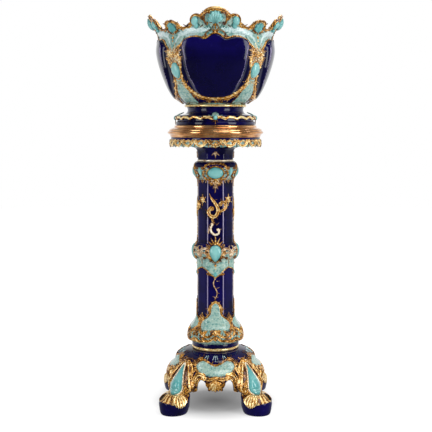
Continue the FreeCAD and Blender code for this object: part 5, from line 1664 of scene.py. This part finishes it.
# ---- feet
shoeValues = {
    "reach": 178.0, "length": 50.0, "width": 45.0, "around": 120, "ribs": 16,
    "rim": [(0, 41.5), (25, 40.5), (50, 35.5), (72, 30), (92, 33), (118, 46), (145, 57), (180, 62)]}


def shoePart():
    v = shoeValues
    turns = circle(v["around"])
    rim = np.interp(np.degrees(np.minimum(turns, 2 * math.pi - turns)), *smoothLine(v["rim"], 200).T)

    def ring(scale, z, sole=0.0):
        return np.stack([v["width"] * scale * np.sin(turns),
                         -(v["reach"] + 2 * sole + v["length"] * scale * np.cos(turns)), z + 0 * turns], 1)
    rings = [ring(0.80, 0.0, 1), ring(0.835, 0.4, 1), ring(0.87, 2.6, 1), ring(0.905, 7, 0.8),
             ring(0.95, 15, 0.5)]
    for share in np.linspace(0.1, 1, 8):
        scale = 0.965 + 0.04 * math.sin(share * math.pi / 2)
        rings.append(ring(scale, 17 + share * (rim - 4 - 17)))
    rings += [ring(1.0, rim - 2), ring(0.98, rim - 0.5), ring(0.955, rim), ring(0.92, rim - 0.8),
              ring(0.89, rim - 3)]
    outer = ringSolid(np.array(rings + [ring(0.80, rim - 7), ring(0.66, rim - 9), ring(0.5, 36)]))
    wave = 1 + 0.022 * np.cos(v["ribs"] * turns)
    lining = [ring(0.88, rim - 4), ring(0.93 * wave, rim - 0.6), ring(0.91 * wave, rim + 1.6)]
    lining += [ring(scale, np.maximum(rim + over, least)) for scale, over, least in (
        (0.82, 3, 42), (0.68, 5, 51), (0.52, 6, 58), (0.36, 0, 61))]
    lining = ringSolid(np.array(lining + [ring(0.36, 33), ring(0.80, rim - 9)]), True)
    return outer, lining


def palmettePart():  # ribbed leaf that hangs from the ankle over the dip of the rim, on one flank of a foot
    path = smoothLine([(20, 61), (30, 59.5), (39, 52), (44.5, 43), (47.5, 34), (48.5, 26)], 26)
    ribs, columns = 5, 41
    points = []
    for i, (away, z) in enumerate(path):
        share = i / (len(path) - 1)
        half = 5 + 19 * math.sin(min(share * 1.25, 1.0) * quarter) * (1 - 1.8 * max(share - 0.75, 0))
        for j in range(columns):
            t = -1 + 2 * j / (columns - 1)
            wave = 0.5 + 0.5 * math.cos(ribs * math.pi * t)
            fall = 3.2 * (1 - wave) * share ** 3 + 7 * t * t * share
            lift = 1.2 + 2.6 * wave * math.sin(math.pi * min(0.25 + share, 1.0) * 0.9) * (1 - 0.5 * t * t)
            points.append((half * t, away - 0.14 * half * t * t + lift, z + fall))
    top = np.array(points)
    bottom = top - [0, 3.4, 0]
    count = len(top)
    rows = len(path)
    polygons = shellFaces(rows, columns)
    whole = np.vstack([top, bottom])
    whole = np.stack([whole[:, 0], -whole[:, 1], whole[:, 2]], 1)
    if volumeOf(whole, polygons) < 0:
        polygons = [p[::-1] for p in polygons]
    ridges = 0.5 + 0.5 * np.cos(ribs * math.pi * np.linspace(-1, 1, columns))
    relief = np.r_[np.tile(0.35 + 0.65 * ridges, rows), np.zeros(count)]
    return whole, polygons, relief


shoe, lining = shoePart()
leafPoints, leafFaces, leafRelief = palmettePart()
for corner, angle in cornerNames.items():
    solid("foot_" + corner + "_shoe", (spun(shoe[0], angle), shoe[1]), "cobalt", 0.5, "foot_" + corner)
linings = atCorners(lining)
ribs = 0.5 + 0.4 * np.cos(shoeValues["ribs"] * circle(shoeValues["around"]))
solid("foot_gilt_linings", linings, "warmGilt", np.tile(ribs, len(linings[0]) // len(ribs)))
palmettes = joined([(spun(leafPoints, flank) + [0, 4 - shoeValues["reach"], 0], leafFaces)
                    for flank in (math.radians(66), -math.radians(66))])
solid("foot_gilt_palmettes", atCorners(palmettes), "gilt", np.tile(leafRelief, 8))
print("feet made")

# ---- hidden fittings keep their CAD shape
fittings = {
    "base_bedding": cork, "capital_bedding": cork, "lower_leather_pad": leather,
    "upper_leather_pad": leather, "tie_rod": iron, "lower_washer": iron, "upper_washer": iron,
    "lower_nut": iron, "upper_nut": iron}
for node, finish in fittings.items():
    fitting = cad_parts[node]
    if fitting.material_slots:
        for place in fitting.material_slots:
            place.material = finish
    else:
        fitting.data.materials.append(finish)
for helper in helpers:
    bpy.data.objects.remove(helper)
print("fittings finished")

# ---- floor, backdrop, lamps and camera
studioValues = {
    "world": 0.26, "floorRadius": 7.0, "floorColour": 0.88, "floorVeil": 0.66, "floorGlow": 1.42,
    "shadeRadius": 0.62, "floorMirror": 0.93, "floorAround": 96, "aim": 0.62,
    "worldColour": (0.97, 0.985, 1.0),
    "lamps": [
        ("keySheet", (1.72, -1.52, 1.05), (0.95, 2.05), 34.0),
        ("fillSheet", (-1.72, -1.52, 1.05), (0.85, 2.05), 24.0),
        ("topSheet", (0.7, -0.9, 2.9), (1.3, 1.3), 24.0),
        ("rearSheet", (0.4, 1.7, 3.0), (1.2, 1.0), 26.0)]}


def mixShaders(tree, share, first, second, output):  # two shaders mixed into the output
    mix = tree.nodes.new("ShaderNodeMixShader")
    for source, socket in zip((share, first.outputs[0], second.outputs[0]), mix.inputs):
        tree.links.new(source, socket)
    tree.links.new(mix.outputs[0], tree.nodes[output].inputs["Surface"])


def addPlace(tree, kind):  # coordinates of a kind, whole and split
    place, split = tree.nodes.new("ShaderNodeTexCoord"), tree.nodes.new("ShaderNodeSeparateXYZ")
    tree.links.new(place.outputs[kind], split.inputs[0])
    return place.outputs[kind], split.outputs


def makeFloor():  # white paper with a painted shadow round the base on top of its real shadow; reflections see it dark in front
    v = studioValues
    paper, tree, shader = newMaterial("floorPaper", Roughness=0.9, Specular_IOR_Level=0.0)
    shader.inputs["Base Color"].default_value = (v["floorColour"],) * 3 + (1,)
    path, glow = tree.nodes.new("ShaderNodeLightPath").outputs, tree.nodes.new("ShaderNodeEmission")
    place, split = addPlace(tree, "Object")
    away = tree.nodes.new("ShaderNodeVectorMath")
    away.operation = "LENGTH"
    tree.links.new(place, away.inputs[0])
    # painted shadow: the glow darkens in a disc round the base
    shade = addGreys(tree, [(0.0, 0.14), (0.17, 0.26), (0.33, 0.84), (0.48, 0.97), (0.8, 1)],
                     addMath(tree, "DIVIDE", away.outputs["Value"], v["shadeRadius"]))
    front = addGreys(tree, [(0.0, 0.03), (0.46, 0.05), (0.58, 0.7), (0.70, 0.7)],
                     addMath(tree, "ADD", addMath(tree, "MULTIPLY", split["Y"], 0.2), 0.5))
    tree.links.new(mixColour(tree, "MIX", path["Is Glossy Ray"], shade, front), glow.inputs["Color"])
    glow.inputs["Strength"].default_value = v["floorGlow"]
    seen = addMath(tree, "MAXIMUM", path["Is Camera Ray"], path["Is Transmission Ray"])
    veil = addMath(tree, "MAXIMUM", addMath(tree, "MULTIPLY", seen, v["floorVeil"]),
                   addMath(tree, "MULTIPLY", path["Is Glossy Ray"], v["floorMirror"]))
    mixShaders(tree, veil, shader, glow, "Material Output")
    rim = ringAt(v["floorRadius"], circle(v["floorAround"]), 0)
    meshObject("floor_paper", rim / mm, [tuple(range(v["floorAround"]))], paper)


def makeRoom():  # plain pale light; camera rays see white, reflections a room that is darker in front
    v = studioValues
    world = bpy.data.worlds.new("studio")
    scene.world = world
    world.use_nodes = True
    tree = world.node_tree
    back, white = tree.nodes["Background"], tree.nodes.new("ShaderNodeBackground")
    back.inputs["Color"].default_value = (*v["worldColour"], 1)
    back.inputs["Strength"].default_value = v["world"]
    split = addPlace(tree, "Generated")[1]
    path = tree.nodes.new("ShaderNodeLightPath").outputs
    above = addRamp(tree, [(0.0, (1, 1, 1)), (0.26, (1, 1, 1)), (0.50, (0.35, 0.35, 0.36))], split["Z"])
    level = addMath(tree, "ADD", addMath(tree, "MULTIPLY", split["Y"], 0.5), 0.5)
    stops = [(0.0, (0.07, 0.07, 0.075)), (0.42, (0.12, 0.12, 0.125)), (0.70, (1, 1, 1))]
    front = addRamp(tree, stops, level)
    room = mixColour(tree, "MULTIPLY", 1.0, above, front)
    room = mixColour(tree, "MIX", path["Is Camera Ray"], room, (1.0, 1.0, 1.0))
    tree.links.new(room, white.inputs["Color"])
    seen = addMath(tree, "MAXIMUM", path["Is Camera Ray"], path["Is Glossy Ray"])
    seen = addMath(tree, "MAXIMUM", seen, path["Is Transmission Ray"])
    mixShaders(tree, seen, back, white, "World Output")


def makeLamps():
    for name, place, size, power in studioValues["lamps"]:
        data = bpy.data.lights.new(name, "AREA")
        data.shape, data.size, data.size_y, data.energy = "RECTANGLE", size[0], size[1], power
        lamp = bpy.data.objects.new(name, data)
        lamp.location = place
        way = Vector((0, 0, studioValues["aim"])) - Vector(place)
        lamp.rotation_euler = way.to_track_quat("-Z", "Y").to_euler()
        scene.collection.objects.link(lamp)


cameraValues = {"lens": 74.617, "sensor": 36.0, "reach": 60.0, "place": (0.0017, -2.809, 0.881),
                "tilt": 84.2}


def makeCamera():
    v = cameraValues
    data = bpy.data.cameras.new("photoView")
    data.sensor_width, data.lens, data.clip_end = v["sensor"], v["lens"], v["reach"]
    camera = bpy.data.objects.new("photoView", data)
    camera.location = v["place"]
    camera.rotation_euler = (math.radians(v["tilt"]), 0, 0)
    scene.collection.objects.link(camera)
    scene.camera = camera


makeFloor()
makeRoom()
makeLamps()
makeCamera()
scene.view_settings.view_transform = "Standard"
print("studio made")
